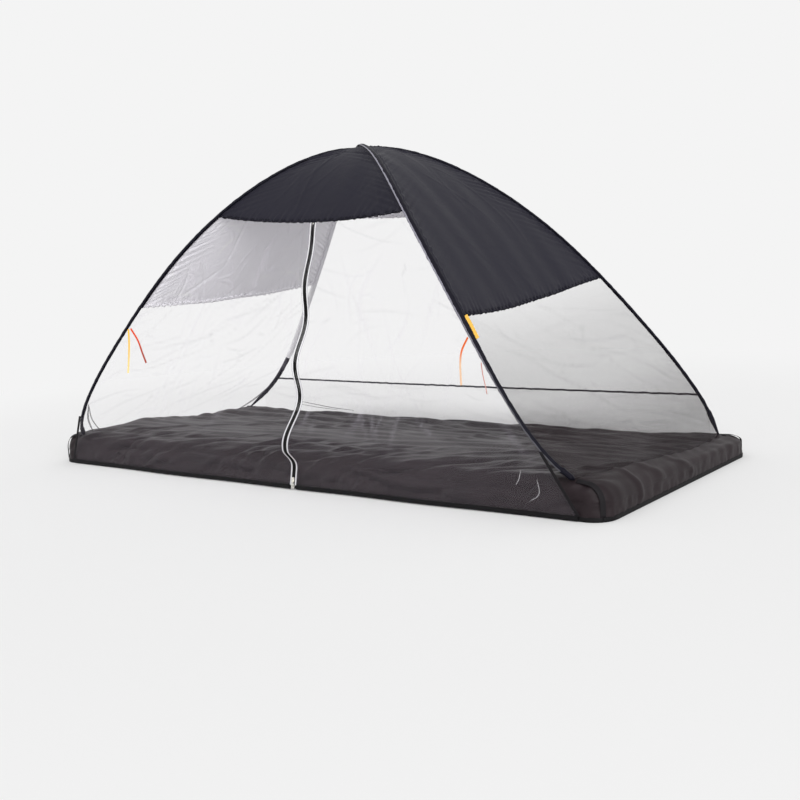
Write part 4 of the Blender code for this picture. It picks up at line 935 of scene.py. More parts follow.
def rows_between(face, left_reach, right_reach, across):
    """Straight rows of points from the left seam to the right, across from -1 to 1."""
    left, right = panel_edges(face, left_reach, right_reach)
    part = ((across + 1) / 2)[None, :, None]
    return left[:, None] * (1 - part) + right[:, None] * part


def closing_up(count, bend=1.0):
    """Places across from -1 to 1, closer together towards both edges."""
    return np.sin(np.linspace(-1, 1, count) * math.pi / 2 * bend) / math.sin(math.pi / 2 * bend)


def shirring(along, seed, size):
    """Ripples that run only along a seam."""
    return ripples(along, along * 0, seed, size, (-0.1, 0.1))


def roof_reach(face, share):
    """How far down the left and right rods a panel's rows lie, share 0 at the top to 1."""
    return share * HEMS[face][0], share * HEMS[face][1]


def hem_hang(face, across):
    """How a hem hangs off the line between its ends."""
    inward, down, lean = HEMS[face][2:]
    off = np.zeros(across.shape + (3,))
    off[..., 2] = -down * (1 + lean * across)
    axis = 1 if face in ("front", "back") else 0
    off[..., axis] = inward * (1 if face in ("front", "head") else -1)
    return off * (1 - across * across)[..., None]


def roof_points(face, share, across):
    """The panel's smooth surface, share 0 at the top to 1 at the hem, across from -1 to 1."""
    points = rows_between(face, *roof_reach(face, share), across)
    points = points + hem_hang(face, across)[None] * (share ** 2)[:, None, None]
    if face in ("head", "foot"):
        wave = np.sin(9 * across[None] + 5 * share[:, None])
        fold = END_FOLD * wave * (1 - across ** 2)[None] * share[:, None]
        points = points + fold[..., None] * np.array((0.6 if face == "head" else -0.6, 0.0, -0.8))
    return points


def roof_start(face):
    """The share of the way to the hem at which the sleeves leave room for the panel."""
    share = np.arange(0.01, 0.3, 0.002)
    reaches = roof_reach(face, share)
    left, right = panel_edges(face, *reaches)
    a, b = (arm_points(arm, reach) for arm, reach in zip(ARMS_OF[face], reaches))
    room = dot(right - left, unit(b - a))[:, 0]
    return float(share[np.argmax(room > 0.003)])


def sleeve_lining(arm, reach, side, turns, off):
    """Points round a sleeve's inner side, from the side given towards the other."""
    pole = "lower" if arm[0] * arm[1] > 0 else "upper"
    along, across, out = arm_frames(arm, reach)
    middle = arm_points(arm, reach)
    beyond = across * np.sign(dot(across, side))
    half = np.interp(np.asarray(reach) * arm[1], *SLEEVE_WIDTHS[pole])[:, None] + off
    return np.stack([middle - beyond * math.cos(t) * half
                     - out * math.sin(t) * (SLEEVE_HALF_HEIGHT + off) for t in turns], 1)


def seam_laps(face, share, points):
    """Carries each row on round its sleeves, where the wide seam allowance lines the ridge."""
    sides = (points[:, 0] - points[:, -1], points[:, -1] - points[:, 0])
    first, second = (sleeve_lining(arm, reach, side, LAP_TURNS, LAP_OFF[face])
                     for arm, reach, side in zip(ARMS_OF[face], roof_reach(face, share), sides))
    return np.concatenate([first[:, ::-1], points, second], 1)


for number, face in enumerate(HEMS):
    # The camera looks into the head panel, so its grid and its folds are finer.
    fine = face == "head"
    hem_length = (HEMS[face][0] + HEMS[face][1]) / 2
    begin = roof_start(face)
    rows = int(hem_length / (0.55 * ROOF_STEP if fine else ROOF_STEP))
    share = begin + (1 - begin) * np.linspace(0, 1, rows) ** 1.1
    share = share * (1 - 0.003 / hem_length)
    smooth = roof_points(face, share, closing_up(260 if fine else 200, ROOF_CLOSING))
    flat = flat_places(smooth)
    u, v = flat[..., 0], flat[..., 1]
    from_edge = np.abs(u[:, :1]) - np.abs(u)
    from_hem = (1 - share)[:, None] * hem_length
    off_seam = smooth_step(from_edge / 0.016)
    taper = smooth_step(from_edge / 0.012) * smooth_step(from_hem / 0.006)

    # Puckers and the seam's own roll lie beside the ridges, gathers and nips along the hem.
    pucker = shirring(v + 0.7 * from_edge, 51 + number, 0.026)
    bulk = SEAM_PUCKER * pucker * np.exp(-from_edge / 0.045) * off_seam
    bulk += SEAM_ROLL * np.exp(-((from_edge - 0.021) / 0.004) ** 2)
    gather = shirring(u + v * 0.4, 61 + number, 0.020)
    bulk += GATHERS[face] * gather * np.exp(-from_hem / 0.024) * off_seam
    by_hem = ((u.min(), u.max()), (v.max() - 0.03, v.max()))
    nips = creases(u, v, 121 + number, 90, (0.02, 0.05), (0.003, 0.005), (0.5, 1.1), by_hem)
    bulk += HEM_NIP * nips * smooth_step(from_hem / 0.004) * smooth_step(from_edge / 0.02)

    # A slow swell, long creases and crumples go over the whole panel.
    bulk += taper * ROOF_SWELL * ripples(u, v * 0.35, 71 + number, 0.130, (-0.5, 0.5))
    sharp = 0.0026 if fine else 0.0045
    long_lines = creases(u, v, 81 + number, 34, (0.12, 0.5), (sharp, 2 * sharp), (0.7, 2.4))
    short_lines = creases(u, v, 91 + number, 80, (0.04, 0.18), (sharp * 0.8, 1.4 * sharp))
    bulk += taper * CREASES[face] * long_lines
    bulk -= taper * CREASES[face] * 0.8 * short_lines
    points = smooth + surface_normals(smooth, OUTWARD[face]) * bulk[..., None]
    # These crease lines whiten the silver inside: painted highlights.
    lines = np.clip(creases(u, v, 131 + number, 60, (0.05, 0.22), (0.0022, 0.0035)), 0, 1)
    folds = np.pad(lines * taper, ((0, 0), (len(LAP_TURNS), len(LAP_TURNS))))
    roof = sheet_grid("roof_" + face + "_cloth", seam_laps(face, share, points),
                      [roof_outside, roof_inside], ROOF_CLOTH, OUTWARD[face], folds)

    hem_share = np.linspace(1 - HEM_BINDING / hem_length, 1.0, HEM_LINES)
    down = np.linspace(0, 1, HEM_LINES)[:, None]
    hem = roof_points(face, hem_share, closing_up(420, ROOF_CLOSING))
    hem_u = flat_places(hem)[..., 0]
    gather = GATHERS[face] * 0.7 * shirring(hem_u, 61 + number, 0.020)
    gather += HEM_COCKLE * shirring(hem_u + 0.8 * HEM_BINDING * down, 101 + number, 0.011)
    gather = gather * smooth_step((abs(hem_u[:, :1]) - abs(hem_u)) / 0.016)
    hem = hem + surface_normals(hem, OUTWARD[face]) * gather[..., None]
    hem[..., 2] += HEM_SCALLOP * shirring(hem_u, 111 + number, 0.028) * down
    binding = sheet_grid("hem_binding_" + face + "_tape", hem, [sleeve_cloth, roof_inside],
                         HEM_BINDING_THICK, OUTWARD[face])
    # At the head and the back the camera sees the binding's turned edge, which is silver.
    body = binding.modifiers["cloth thickness"]
    body.material_offset_rim = 1 if face in ("head", "back") else 0
    fasten(roof, "roof_" + face)
    fasten(binding, "hem_binding_" + face)
    declare_cloth(seam_laps(face, share, smooth))


# Net walls
# Fine polyester mosquito net, knitted with holes under 2 mm wide: two door halves at the
# front, an upper and a lower net at the back, one net at each end. It is sewn to the sleeves,
# the hems and the cover, is a little slack, and holds the creases of being packed flat.

NET_CLOTH = 0.0004
NET_HOLE = 0.0024
NET_CREASE = 0.0014
END_NET_SAG = 0.020
END_NET_BULGE = 0.050
END_NET_PLEAT = 0.004
END_NET_INSET = 0.042
BACK_NET_SAG = 0.032
BACK_NET_PLEAT = 0.005
BACK_NET_INSET = 0.013
BACK_SEAM_UP = 0.0834
SEAM_TAPE = 0.008
SEAM_TAPE_THICK = 0.0012
BACK_SEAM_COCKLE = 0.0007
SETTLE_STEPS = 8


def mosquito_net(name, yarn, veil, creased):
    """Knitted net seen from further off than its holes: a thin veil, the share of the view
    that its yarns hide, denser in its creases, where it doubles. The mesh is drawn at 2.4 mm,
    coarser than the real 1.2 mm."""
    finish, tree, shader = start_finish(name, {
        "Base Color": colour(yarn), "Roughness": 0.75, "Specular IOR Level": 0.2})
    flat = add_node(tree, "TexCoord", out="UV")
    wale, course = (add_node(tree, "TexWave", {"Vector": flat, "Scale": band_scale(NET_HOLE)}, 1,
                             bands_direction=way) for way in "XY")
    knit = add_node(tree, "Math", {0: wale, 1: course}, operation="MAXIMUM")
    knit = add_node(tree, "MapRange", {0: knit, 3: veil * 0.85, 4: veil * 1.15})
    folds = add_node(tree, "Attribute", out="Fac", attribute_name="folds")
    cover = add_node(tree, "Math", {0: folds, 1: creased, 2: knit}, operation="MULTIPLY_ADD",
                     use_clamp=True)
    feed(shader, {"Alpha": cover})
    return finish


white_net = mosquito_net("polyester_net_white", "D3CDD9", 0.015, 0.15)
# The lower back net is the same net, drawn grey: painted shade.
back_shade_net = mosquito_net("polyester_net_painted_half_shade", "8A8088", 0.030, 0.10)
# The foot net is the same net too, drawn dark warm grey with a thicker veil: painted shade, its
# warm tint a painted reflection.
shaded_net = mosquito_net("polyester_net_painted_shade", "2B2427", 0.165, 0.08)


def net_piece(node, face, smooth, finish, seed, lines=(22, 12), turn=(-0.5, 0.5),
              depth=NET_CREASE, clear=-1.0, shade_ramp=(0.0, 0.0, 0.0, 0.0)):
    """A net panel with packing creases pressed in: lines counts the long and the short ones,
    which fade out under the height clear. The ramp given last raises the veil's cover at the
    top, a little lower, midway and foot; on the dark foot net it is painted shade."""
    flat = flat_places(smooth)
    u, v = flat[..., 0], flat[..., 1]
    width = np.maximum(u[:, -1:] - u[:, :1], 1e-6)
    from_edge = np.minimum(u - u[:, :1], u[:, -1:] - u)
    taper = smooth_step(from_edge / (0.08 * width)) * smooth_step(v / 0.02)
    taper = taper * smooth_step((v.max() - v) / 0.02)
    long_lines = creases(u, v, seed, lines[0], (0.15, 0.60), (0.0035, 0.008), turn)
    short_lines = creases(u, v, seed + 1, lines[1], (0.03, 0.14), (0.003, 0.005))
    swell = ripples(u, v, seed + 2, 0.16)
    bulk = depth * taper * (1.2 * long_lines - 1.4 * short_lines + 0.8 * swell)
    points = smooth + surface_normals(smooth, OUTWARD[face]) * bulk[..., None]
    folds = np.clip(0.45 * long_lines + 0.55 * short_lines, 0, 1.2)
    folds = folds * smooth_step((smooth[..., 2] - clear) / 0.08)
    folds = folds + np.interp(v / v.max(), (0.0, 0.22, 0.50, 0.85), shade_ramp)
    made = sheet_grid(node + "_mesh", points, [finish], NET_CLOTH, OUTWARD[face], folds)
    fasten(made, node)
    declare_cloth(smooth)


def foot_line(face, across):
    """The line on the cover to which a net wall is sewn."""
    ends = face in ("head", "foot")
    toes = [np.array([ARM_LENGTH + (POCKET_LENGTHS[arm[1]] if ends else 0.0)])
            for arm in ARMS_OF[face]]
    line = rows_between(face, *toes, across)[0]
    reach = (1 - across ** 2) ** 0.7
    if ends:
        seam = (1 if face == "foot" else -1) * (BASE_LENGTH / 2 - END_NET_INSET)
        line[:, 0] += (seam - line[:, 0]) * reach
    else:
        line[:, 1] += (BASE_WIDTH / 2 - BACK_NET_INSET - line[:, 1]) * reach
    line[:, 2] = cover_height(line[:, 0], line[:, 1])
    line[:, 2] += cover_relief(*line.T) + CLOTH_MIDDLE
    return line


def settle(points, line):
    """Eases the last rows of a wall down on to its line on the cover."""
    ease = smooth_step(np.linspace(0, 1, SETTLE_STEPS + 1)[1:])[:, None, None]
    last = points[-1][None]
    return np.concatenate([points, last + (line[None] - last) * ease])


def end_net(face):
    """The smooth net wall of the head or foot end."""
    across = closing_up(88)
    share = 1 - (1 - np.linspace(0, 1, 76)) ** 1.5
    reaches = (HEMS[face][k] + (ARM_LENGTH - HEMS[face][k]) * share for k in (0, 1))
    points = rows_between(face, *reaches, across)
    points = points + hem_hang(face, across)[None] * (1 - share)[:, None, None]
    slack = (1 - across ** 2)[None]
    end = 1 if face == "foot" else -1
    sag = (END_NET_SAG * np.sin(math.pi * share))[:, None] * slack
    bulge = (END_NET_BULGE * share ** 3)[:, None] * slack
    points[..., 0] += end * (bulge - 0.6 * sag)
    points[..., 2] -= 0.8 * sag
    pleat = END_NET_PLEAT * np.sin(math.pi * share)[:, None] * slack
    pleat = pleat * np.sin(14 * across[None] + 6 * share[:, None])
    points += pleat[..., None] * np.array((end * 0.7, 0.0, 0.7))
    return settle(points, foot_line(face, across))


def back_wall(reach_from, reach_to, rows, across):
    """Part of the smooth back net between two distances down the rods."""
    reach = np.linspace(reach_from, reach_to, rows)
    share = ((reach - HEMS["back"][0]) / (ARM_LENGTH - HEMS["back"][0]))[:, None]
    points = rows_between("back", reach, reach, across)
    points = points + hem_hang("back", across)[None] * (1 - share)[..., None]
    slack = (1 - across ** 2)[None]
    points[..., 1] -= BACK_NET_SAG * np.sin(math.pi * share) * slack
    pleat = BACK_NET_PLEAT * np.sin(math.pi * share) * slack
    points[..., 1] += pleat * np.sin(10 * across[None] + 8 * share)
    return points


net_piece("net_head", "head", end_net("head"), white_net, 201, (40, 20), (0.1, 1.0))
# The foot net darkens towards its foot and clears at its top: painted shade.
net_piece("net_foot", "foot", end_net("foot"), shaded_net, 211, (40, 20), (0.1, 1.0),
          shade_ramp=(-1.4, -0.3, 0.3, 2.6))

across = np.linspace(-1, 1, 130)
back_seam = ARM_LENGTH - BACK_SEAM_UP
upper = back_wall(HEMS["back"][0], back_seam + 0.001, 84, across)
net_piece("net_back_upper", "back", upper, white_net, 221)
lower = back_wall(back_seam + SEAM_TAPE - 0.001, ARM_LENGTH, 10, across)
lower = settle(lower, foot_line("back", across))
net_piece("net_back_lower", "back", lower, back_shade_net, 231, (30, 6), (-0.15, 0.15))

seam_grey = woven("polyester_seam_tape_charcoal", "3A393F", "2C2B30", gloss=0.6)
strip = back_wall(back_seam, back_seam + SEAM_TAPE, 4, across)
strip[..., 2] += BACK_SEAM_COCKLE * shirring(across * 0.9, 241, 0.05)
seam_tape = sheet_grid("back_seam_tape_cloth", strip, [seam_grey], SEAM_TAPE_THICK,
                       OUTWARD["back"])
fasten(seam_tape, "back_seam_tape")


# Selvedges of the back nets
# Below the roof the back left sleeve is lined on its inner side by the white selvedges of the
# two nets that meet there, folded in and sewn down as far as the point where the nets part.
# Low on the back and head nets a few pleats lie pressed.

SELVEDGE_THICK = 0.0006
SELVEDGE_END = 1.26
FOLD_HALF_THICK = 0.0005

selvedge = woven("polyester_selvedge_white", "FAF9FC", "EDECF0", thread=0.0008, gloss=0.7,
                 shine=0.1, crumple=0.0004)
reach = np.linspace(HEMS["back"][0] + 0.01, SELVEDGE_END, 90)
lining = sleeve_lining((-1, 1), reach, np.array((-1.0, 0.0, 0.0)),
                       np.linspace(0.3, math.pi - 0.3, 8), 0.0012)
lined = sheet_grid("net_selvedge_back_left", lining, [selvedge], SELVEDGE_THICK, (1, -1, -1))
fasten(lined)

# Where the net lies doubled in pressed pleats it is drawn dark grey: painted shade in the folds.
shaded_fold = mosquito_net("polyester_net_doubled_painted_shade", "3C383E", 0.42, 0.0)
pale_fold = mosquito_net("polyester_net_doubled_white", "F8F6FA", 0.16, 0.0)


def pressed_fold(name, half_width, finish, route):
    """A pleat where the net lies doubled along a route, drawn as a thin line in the finish given.
    """
    line = np.array([tuple(p) for p in smooth_line(route, 6 * len(route))])
    forward = unit(np.gradient(line, axis=0))
    aside = unit(np.cross(forward, np.array((0.6, -0.78, 0.14))))
    ends = np.sin(math.pi * np.linspace(0.06, 0.94, len(line))) ** 0.5
    turn = full_turn(6)
    rings = rings_round(line, aside, unit(np.cross(aside, forward)),
                        np.cos(turn) * half_width * ends[:, None], np.sin(turn) * FOLD_HALF_THICK)
    fasten(tube(name, rings, finish))


pressed_fold("net_fold_back_lower_a", 0.0016, shaded_fold, (
    (-.736, .441, .0905), (-.660, .441, .0820), (-.580, .441, .0735), (-.470, .441, .0668)))
pressed_fold("net_fold_back_lower_b", 0.0012, shaded_fold, (
    (-.737, .441, .0790), (-.640, .441, .0705), (-.550, .441, .0660)))
pressed_fold("net_fold_head_foot", 0.0030, shaded_fold, (
    (-.925, .455, .1400), (-.940, .390, .1020), (-.955, .305, .0690)))


# Door halves, their hems and side seams
# The front net is cut in two by the zip. Each half hangs from the front hem, runs down beside
# the sleeve and leaves it near the foot along a black seam tape to the front lower corner,
# where a narrow bound hem goes along the cover's edge to the zip.

ZIP_TOP = np.array((0.0400, -0.2947, 0.7670))
ZIP_FOOT = np.array((0.0550, -0.4780, 0.0140))
ZIP_STRAIGHT = 0.060
ZIP_WAVE = 0.030
ZIP_WAVE_END = 0.830
ZIP_WAVE_CREST = 0.145
ZIP_WAVE_LENGTH = 0.228
TAPE_EDGE = 0.0125
DOOR_SPLIT_UP = 0.0774
DOOR_PROUD = 0.006
DOOR_WAVE = 0.004
DOOR_CREASE = 0.0018
DOOR_CORNER_INSET = 0.072
DOOR_CORNER_PROUD = 0.0055
DOOR_SEAM_WIDTH = 0.010
DOOR_HEM_HEIGHT = 0.0115
DOOR_HEM_THICK = 0.0018
DOOR_HEM_COCKLE = 0.0004
DOOR_COLUMNS = 72
DOOR_ROWS = 100
# Side, half width, finish and route of each pleat at the poles' feet, where the net is
# caught. A route gives heights and shares of the way from the zip to the side.
PLEATS = {
    "left_a": (-1, 0.0030, shaded_fold, ((.214, .985), (.165, .955), (.119, .919))),
    "left_b": (-1, 0.0020, shaded_fold, ((.214, .985), (.165, .935), (.121, .876))),
    "left_c": (-1, 0.0013, shaded_fold, ((.205, .990), (.150, .982), (.100, .962))),
    "right_a": (1, 0.0013, pale_fold, ((.100, .935), (.062, .915), (.040, .870))),
    "right_b": (1, 0.0013, pale_fold, ((.120, .895), (.095, .870), (.080, .850))),
}


def zip_wave(z):
    """Slack of the closed zip, outwards from a straight run."""
    fade = smooth_step((z - ZIP_STRAIGHT) / ZIP_STRAIGHT)
    fade = fade * smooth_step((ZIP_TOP[2] - z) / ZIP_STRAIGHT)
    size = ZIP_WAVE * np.maximum(1 - z / ZIP_WAVE_END, 0.0)
    return size * fade * (1 + np.cos(2 * math.pi * (z - ZIP_WAVE_CREST) / ZIP_WAVE_LENGTH))


def zip_points(z):
    """The zip's middle at given heights."""
    share = ((z - ZIP_FOOT[2]) / (ZIP_TOP[2] - ZIP_FOOT[2]))[..., None]
    points = ZIP_FOOT + (ZIP_TOP - ZIP_FOOT) * share
    points[..., 1] -= zip_wave(z)
    return points


split_reach = ARM_LENGTH - DOOR_SPLIT_UP
arm_table = np.linspace(0.3, split_reach, 400)
arm_heights = arm_points((1, -1), arm_table)[:, 2]


def door_seam_points(sign, share):
    """The line from the sleeve down to the cover's front lower corner."""
    start = arm_points((sign, -1), split_reach)
    start = start + (0.0, -(SLEEVE_HALF_WIDTH + WEBBING + 0.001), 0.0)
    stop = np.array((sign * (BASE_LENGTH / 2 - DOOR_CORNER_INSET),
                     -BASE_WIDTH / 2 - DOOR_CORNER_PROUD, ZIP_FOOT[2]))
    return start + (stop - start) * share[..., None]


def door_side(sign, z):
    """The door's outer edge at given heights: in the sleeve's seam, then in the seam tape."""
    split = arm_points((sign, -1), split_reach)
    reach = np.interp(z, arm_heights[::-1], arm_table[::-1])
    upper = panel_edges("front", reach, reach)[0 if sign < 0 else 1]
    proud = DOOR_PROUD * smooth_step((reach - split_reach + 0.1) / 0.08)
    upper = upper + proud[..., None] * np.array((-sign, -1.0, 0.0))
    share = np.clip((split[2] - z) / (split[2] - ZIP_FOOT[2]), 0, 1)
    lower = door_seam_points(sign, share)
    lower = lower - np.array((sign * (DOOR_SEAM_WIDTH / 2 - 0.003), 0.0, 0.0))
    return np.where((z >= split[2])[..., None], upper, lower)


def door_points(sign, z, share):
    """The door's smooth net, share 0 at the zip tape to 1 at its side."""
    edge = door_side(sign, z)
    middle = zip_points(z)
    wave = zip_wave(z)
    start = middle[..., 0] + sign * (TAPE_EDGE - 0.002)
    x = start + (edge[..., 0] - start) * share
    straight = middle[..., 1] + wave
    y = straight + (edge[..., 1] - straight) * share ** 1.5 - wave * (1 - share) ** 2.5
    y = y + DOOR_WAVE * np.sin(math.pi * share) * np.sin(9 * share + 14 * z)
    return np.stack([x, y, z], -1)


hem_row = np.array([1.0])
hem_left, hem_right = roof_points("front", hem_row, np.array([-1.0, 1.0]))[0][:, 0]
door_share = np.linspace(0, 1, DOOR_COLUMNS)
down = np.linspace(0, 1, DOOR_ROWS)[:, None]
edge_wide, edge_tall = tape_section(0.9)
for sign, name, edge_x, seed in ((-1, "left", hem_left, 301), (1, "right", hem_right, 311)):
    hem_x = ZIP_TOP[0] + sign * TAPE_EDGE + (edge_x - ZIP_TOP[0] - sign * TAPE_EDGE) * door_share
    hem_u = 2 * (hem_x - hem_left) / (hem_right - hem_left) - 1
    hem_z = roof_points("front", hem_row, hem_u)[0][:, 2] + 0.002
    z = hem_z[None] * (1 - down) + (ZIP_FOOT[2] - 0.001) * down
    smooth = door_points(sign, z, np.broadcast_to(door_share[None], z.shape))
    net_piece("door_net_" + name, "front", smooth, white_net, seed, (34, 46), (1.2, 2.4),
              DOOR_CREASE, clear=0.13)

    seam = door_seam_points(sign, np.linspace(0.0, 1.0, 24))
    rings = rings_round(seam, np.array((1, 0, 0)), np.array((0, 1, 0)),
                        edge_wide * DOOR_SEAM_WIDTH / 2, edge_tall * WEBBING / 2)
    side_seam = tube("door_seam_tape_" + name + "_webbing", rings, webbing)
    fasten(side_seam, "door_seam_tape_" + name)

    heights = np.linspace(ZIP_FOOT[2] + 0.001, ZIP_FOOT[2] - DOOR_HEM_HEIGHT, 6)
    line = door_points(sign, np.full(door_share.shape, ZIP_FOOT[2]), door_share)
    hem = np.repeat(line[None], len(heights), 0)
    hem[..., 2] = heights[:, None]
    hem[..., 1] -= DOOR_HEM_COCKLE * shirring(line[:, 0], 321, 0.03)
    door_hem = sheet_grid("door_hem_" + name + "_tape", hem, [binding_tape], DOOR_HEM_THICK,
                          (0, -1, 0))
    fasten(door_hem, "door_hem_" + name)

for name, (sign, half_width, finish, places) in PLEATS.items():
    route = [door_points(sign, np.array(z), np.array(share)) + (0, -0.0008, 0)
             for z, share in places]
    pressed_fold("door_pleat_" + name, half_width, finish, route)


# Zip
# A long black nylon coil zip between the door halves, closed from the hem down to a slider
# with a puller on each face. Its two tapes are black beside the coils and sheer white outside
# them, with a grey rim. It is longer than its straight run, so it hangs in waves.

CHAIN_HALF_WIDTH = 0.0030
COIL_PITCH = 0.0015
COIL_WIRE = 0.00055
COIL_MIDDLE = 0.00155
COIL_REACH = 0.00195
COIL_OVERLAP = 0.0003
COIL_RISE = 0.00085
COIL_SLACK = 1.06
COIL_SIDES = 7
SLIDER_UP = 0.016
SLIDER_GAP = 0.0007
STOP_ROOM = 0.0064
TAPE_THICK = 0.0008
TAPE_BLACK = (0.0064, 0.0070)
TAPE_RIM = (0.0110, 0.0117)
SLIDER_EDGE = 0.00018
STOP_EDGE = 0.0002

tape_weave = woven("polyester_zip_tape_black_and_white", "FBFAFD", "EFEEF2", thread=0.0010,
                   gloss=0.7, crumple=0.0004)
tree = tape_weave.node_tree
off = add_node(tree, "SeparateXYZ", {0: add_node(tree, "TexCoord", out="UV")}, "X")
inner = add_node(tree, "MapRange", {0: off, 1: TAPE_BLACK[0], 2: TAPE_BLACK[1]})
blend_dye(tape_weave, inner, under=colour("040405"))
rim = add_node(tree, "MapRange", {0: off, 1: TAPE_RIM[0], 2: TAPE_RIM[1]})
blend_dye(tape_weave, rim, over=colour("9A99A2"))
sheer = add_node(tree, "MapRange", {0: inner, 3: 1.0, 4: 0.50})
feed(tree.nodes["Principled BSDF"], {"Alpha": sheer})

# Black nylon line wound into a coil: smooth and quite glossy on each turn.
coil_nylon = speckled("nylon_coil_black", ("030304", "09090A"), (0.45, 0.6), 0.00333, 2.0,
                      {"IOR": 1.53, "Specular IOR Level": 0.2})

zip_along = unit(ZIP_TOP - ZIP_FOOT)
slider_place = ZIP_FOOT + zip_along * SLIDER_UP
heights = np.linspace(ZIP_TOP[2] - 0.0012, ZIP_FOOT[2], 150)
middle = zip_points(heights)
chain_low = slider_place[2] + SLIDER_GAP
chain_high = ZIP_TOP[2] - STOP_ROOM
turns = int((chain_high - chain_low) * COIL_SLACK / COIL_PITCH)
steps = np.arange(turns * COIL_SIDES + 1) / COIL_SIDES
angle = 2 * math.pi * steps
around = zip_points(chain_high + (chain_low - chain_high) * steps / turns)
ahead = unit(np.gradient(around, axis=0))
sideways = unit(np.array((1.0, 0.0, 0.0)) - ahead * ahead[:, :1])
outside = np.cross(sideways, ahead)
turn = full_turn(5)
for sign, name in ((-1, "left"), (1, "right")):
    reach = np.linspace(CHAIN_HALF_WIDTH + 0.0003, TAPE_EDGE, 6)
    tape = middle[:, None] + np.array((sign, 0.0, 0.0)) * reach[None, :, None]
    zip_tape = sheet_grid("zip_tape_" + name + "_cloth", tape, [tape_weave], TAPE_THICK,
                          (0, -1, 0), flat=np.stack(np.meshgrid(reach, heights), -1))
    fasten(zip_tape, "zip_tape_" + name)

    offset = sign * (COIL_MIDDLE - COIL_REACH * np.cos(angle) - COIL_OVERLAP)
    line = around + sideways * offset[:, None] + outside * (COIL_RISE * np.sin(angle))[:, None]
    forward = unit(np.gradient(line, axis=0))
    one = unit(np.cross(forward, outside + sideways * 0.3))
    rings = rings_round(line, one, np.cross(forward, one),
                        np.cos(turn) * COIL_WIRE, np.sin(turn) * COIL_WIRE)
    coil = tube("zip_coil_" + name + "_nylon", rings, coil_nylon)
    fasten(coil, "zip_chain")
    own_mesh(coil)

# Zinc castings plated with nickel: a pale, warm, slightly soft mirror, duller where fingers
# and the coil have rubbed it. A stop ends each end of the chain.
plated_nickel = speckled("nickel_plated_zinc", ("C4C2BC", "E4E2DC"), (0.16, 0.38), 0.00238, 3.0,
                         {"Metallic": 1.0})
dress(["zip_slider", "zip_pull_outer", "zip_pull_inner"], plated_nickel, SLIDER_EDGE)
dress(["zip_stop_top", "zip_stop_foot_left", "zip_stop_foot_right"], plated_nickel, STOP_EDGE)


# Side label
# A blank label of yellow woven polyester, folded double and caught in the front right
# sleeve's seam on the foot end, just under the roof's hem. Its loose edge curls out.

LABEL_LENGTH = 0.075
LABEL_WIDTH = 0.015
LABEL_THICK = 0.0012
LABEL_OFF = 0.0022
LABEL_WAVE = 0.0005
LABEL_CURL = 0.0055

label_weave = woven("polyester_label_yellow", "EDBE5C", "DDA840", thread=0.0009, gloss=0.65,
                    crumple=0.0005)
front_hem, back_hem = HEMS["foot"][:2]
reach = front_hem + 0.005 + LABEL_LENGTH * np.linspace(0, 1, 26)
share = (reach - front_hem) / (ARM_LENGTH - front_hem)
left, right = panel_edges("foot", reach, back_hem + (ARM_LENGTH - back_hem) * share)
part = np.linspace(-0.003, LABEL_WIDTH + 0.001, 8)
grid = left[:, None] + unit(right - left)[:, None] * part[None, :, None]
lift = LABEL_OFF + LABEL_WAVE * np.sin(np.linspace(0, 5, 26))[:, None]
lift = lift + LABEL_CURL * np.linspace(0, 1, 8)[None] ** 1.6
grid = grid + lift[..., None] * np.array((0.72, 0.0, 0.69))
label = sheet_grid("side_label_cloth", grid, [label_weave], LABEL_THICK, OUTWARD["foot"])
fasten(label, "side_label")


# Studio
# A plain pale floor and even, soft daylight from all round. A broad key light falls from above
# the front and a broader fill comes in level from the camera's side. The background is the
# same near-white as the photograph's.

BACKDROP = colour("F4F4F4")
FLOOR_HALF = 30
FLOOR_DROP = 0.0005
FADE = (1.6, 3.2)
DAYLIGHT = 0.60
# Strength, spread in degrees and heading.
SUNS = (
    ("key_light", 1.25, 24.0, (-0.35, 0.75, -1.0)),
    ("fill_light", 1.85, 40.0, (-0.88, 0.60, -0.14)),
)


def looked_at(tree):
    """1 for the camera, a mirror or a see-through piece, and 0 for light on its way."""
    rays = add_node(tree, "LightPath").node.outputs
    seen = add_node(tree, "Math", {0: rays["Is Camera Ray"], 1: rays["Is Glossy Ray"]},
                    operation="MAXIMUM")
    return add_node(tree, "Math", {0: seen, 1: rays["Is Transmission Ray"]}, operation="MAXIMUM")


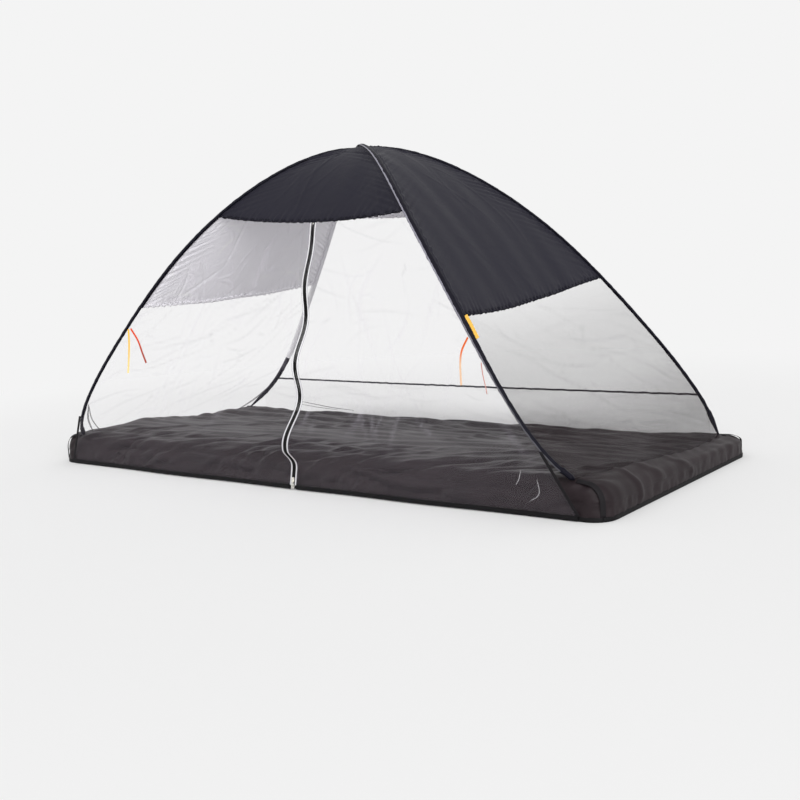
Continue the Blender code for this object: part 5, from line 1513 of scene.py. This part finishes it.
floor_mesh = bpy.data.meshes.new("studio_floor")
floor_corners = [(x * FLOOR_HALF, y * FLOOR_HALF, 0)
                 for x, y in ((-1, -1), (1, -1), (1, 1), (-1, 1))]
floor_mesh.from_pydata(floor_corners, [], [(0, 1, 2, 3)])
floor = bpy.data.objects.new("studio_floor", floor_mesh)
floor.location = (0, 0, -FLOOR_DROP)
bpy.context.scene.collection.objects.link(floor)
floor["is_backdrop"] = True
# Out past the tent the paper fades into the backdrop, so that no horizon shows.
paper, tree, shader = start_finish("studio_paper_white", {
    "Base Color": colour("F0F0F0"), "Roughness": 1.0, "Specular IOR Level": 0.0})
place = add_node(tree, "TexCoord", out="Object")
far = add_node(tree, "VectorMath", {0: place}, "Value", operation="LENGTH")
fade = add_node(tree, "MapRange", {0: far, 1: FADE[0], 2: FADE[1]},
                interpolation_type="SMOOTHSTEP")
plain = add_node(tree, "Math", {0: looked_at(tree), 1: fade}, operation="MULTIPLY")
glow = add_node(tree, "Emission", {"Color": BACKDROP, "Strength": 1.0})
mixed = add_node(tree, "MixShader", {0: plain, 1: shader.outputs[0], 2: glow})
feed(tree.nodes["Material Output"], {"Surface": mixed})
floor_mesh.materials.append(paper)

world = bpy.data.worlds.new("studio")
world.use_nodes = True
bpy.context.scene.world = world
tree = world.node_tree
dome = add_node(tree, "Background", {"Color": colour("FFFFFF"), "Strength": DAYLIGHT})
backdrop = add_node(tree, "Background", {"Color": BACKDROP, "Strength": 1.0})
mixed = add_node(tree, "MixShader", {0: looked_at(tree), 1: dome, 2: backdrop})
feed(tree.nodes["World Output"], {"Surface": mixed})

for name, strength, spread, heading in SUNS:
    lamp = bpy.data.lights.new(name, "SUN")
    lamp.energy = strength
    lamp.angle = math.radians(spread)
    light = bpy.data.objects.new(name, lamp)
    light.rotation_mode = "QUATERNION"
    light.rotation_quaternion = Vector(heading).to_track_quat("-Z", "Y")
    bpy.context.scene.collection.objects.link(light)

bpy.context.scene.view_settings.view_transform = "Standard"


# The scene's bounds at the end.
low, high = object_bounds()
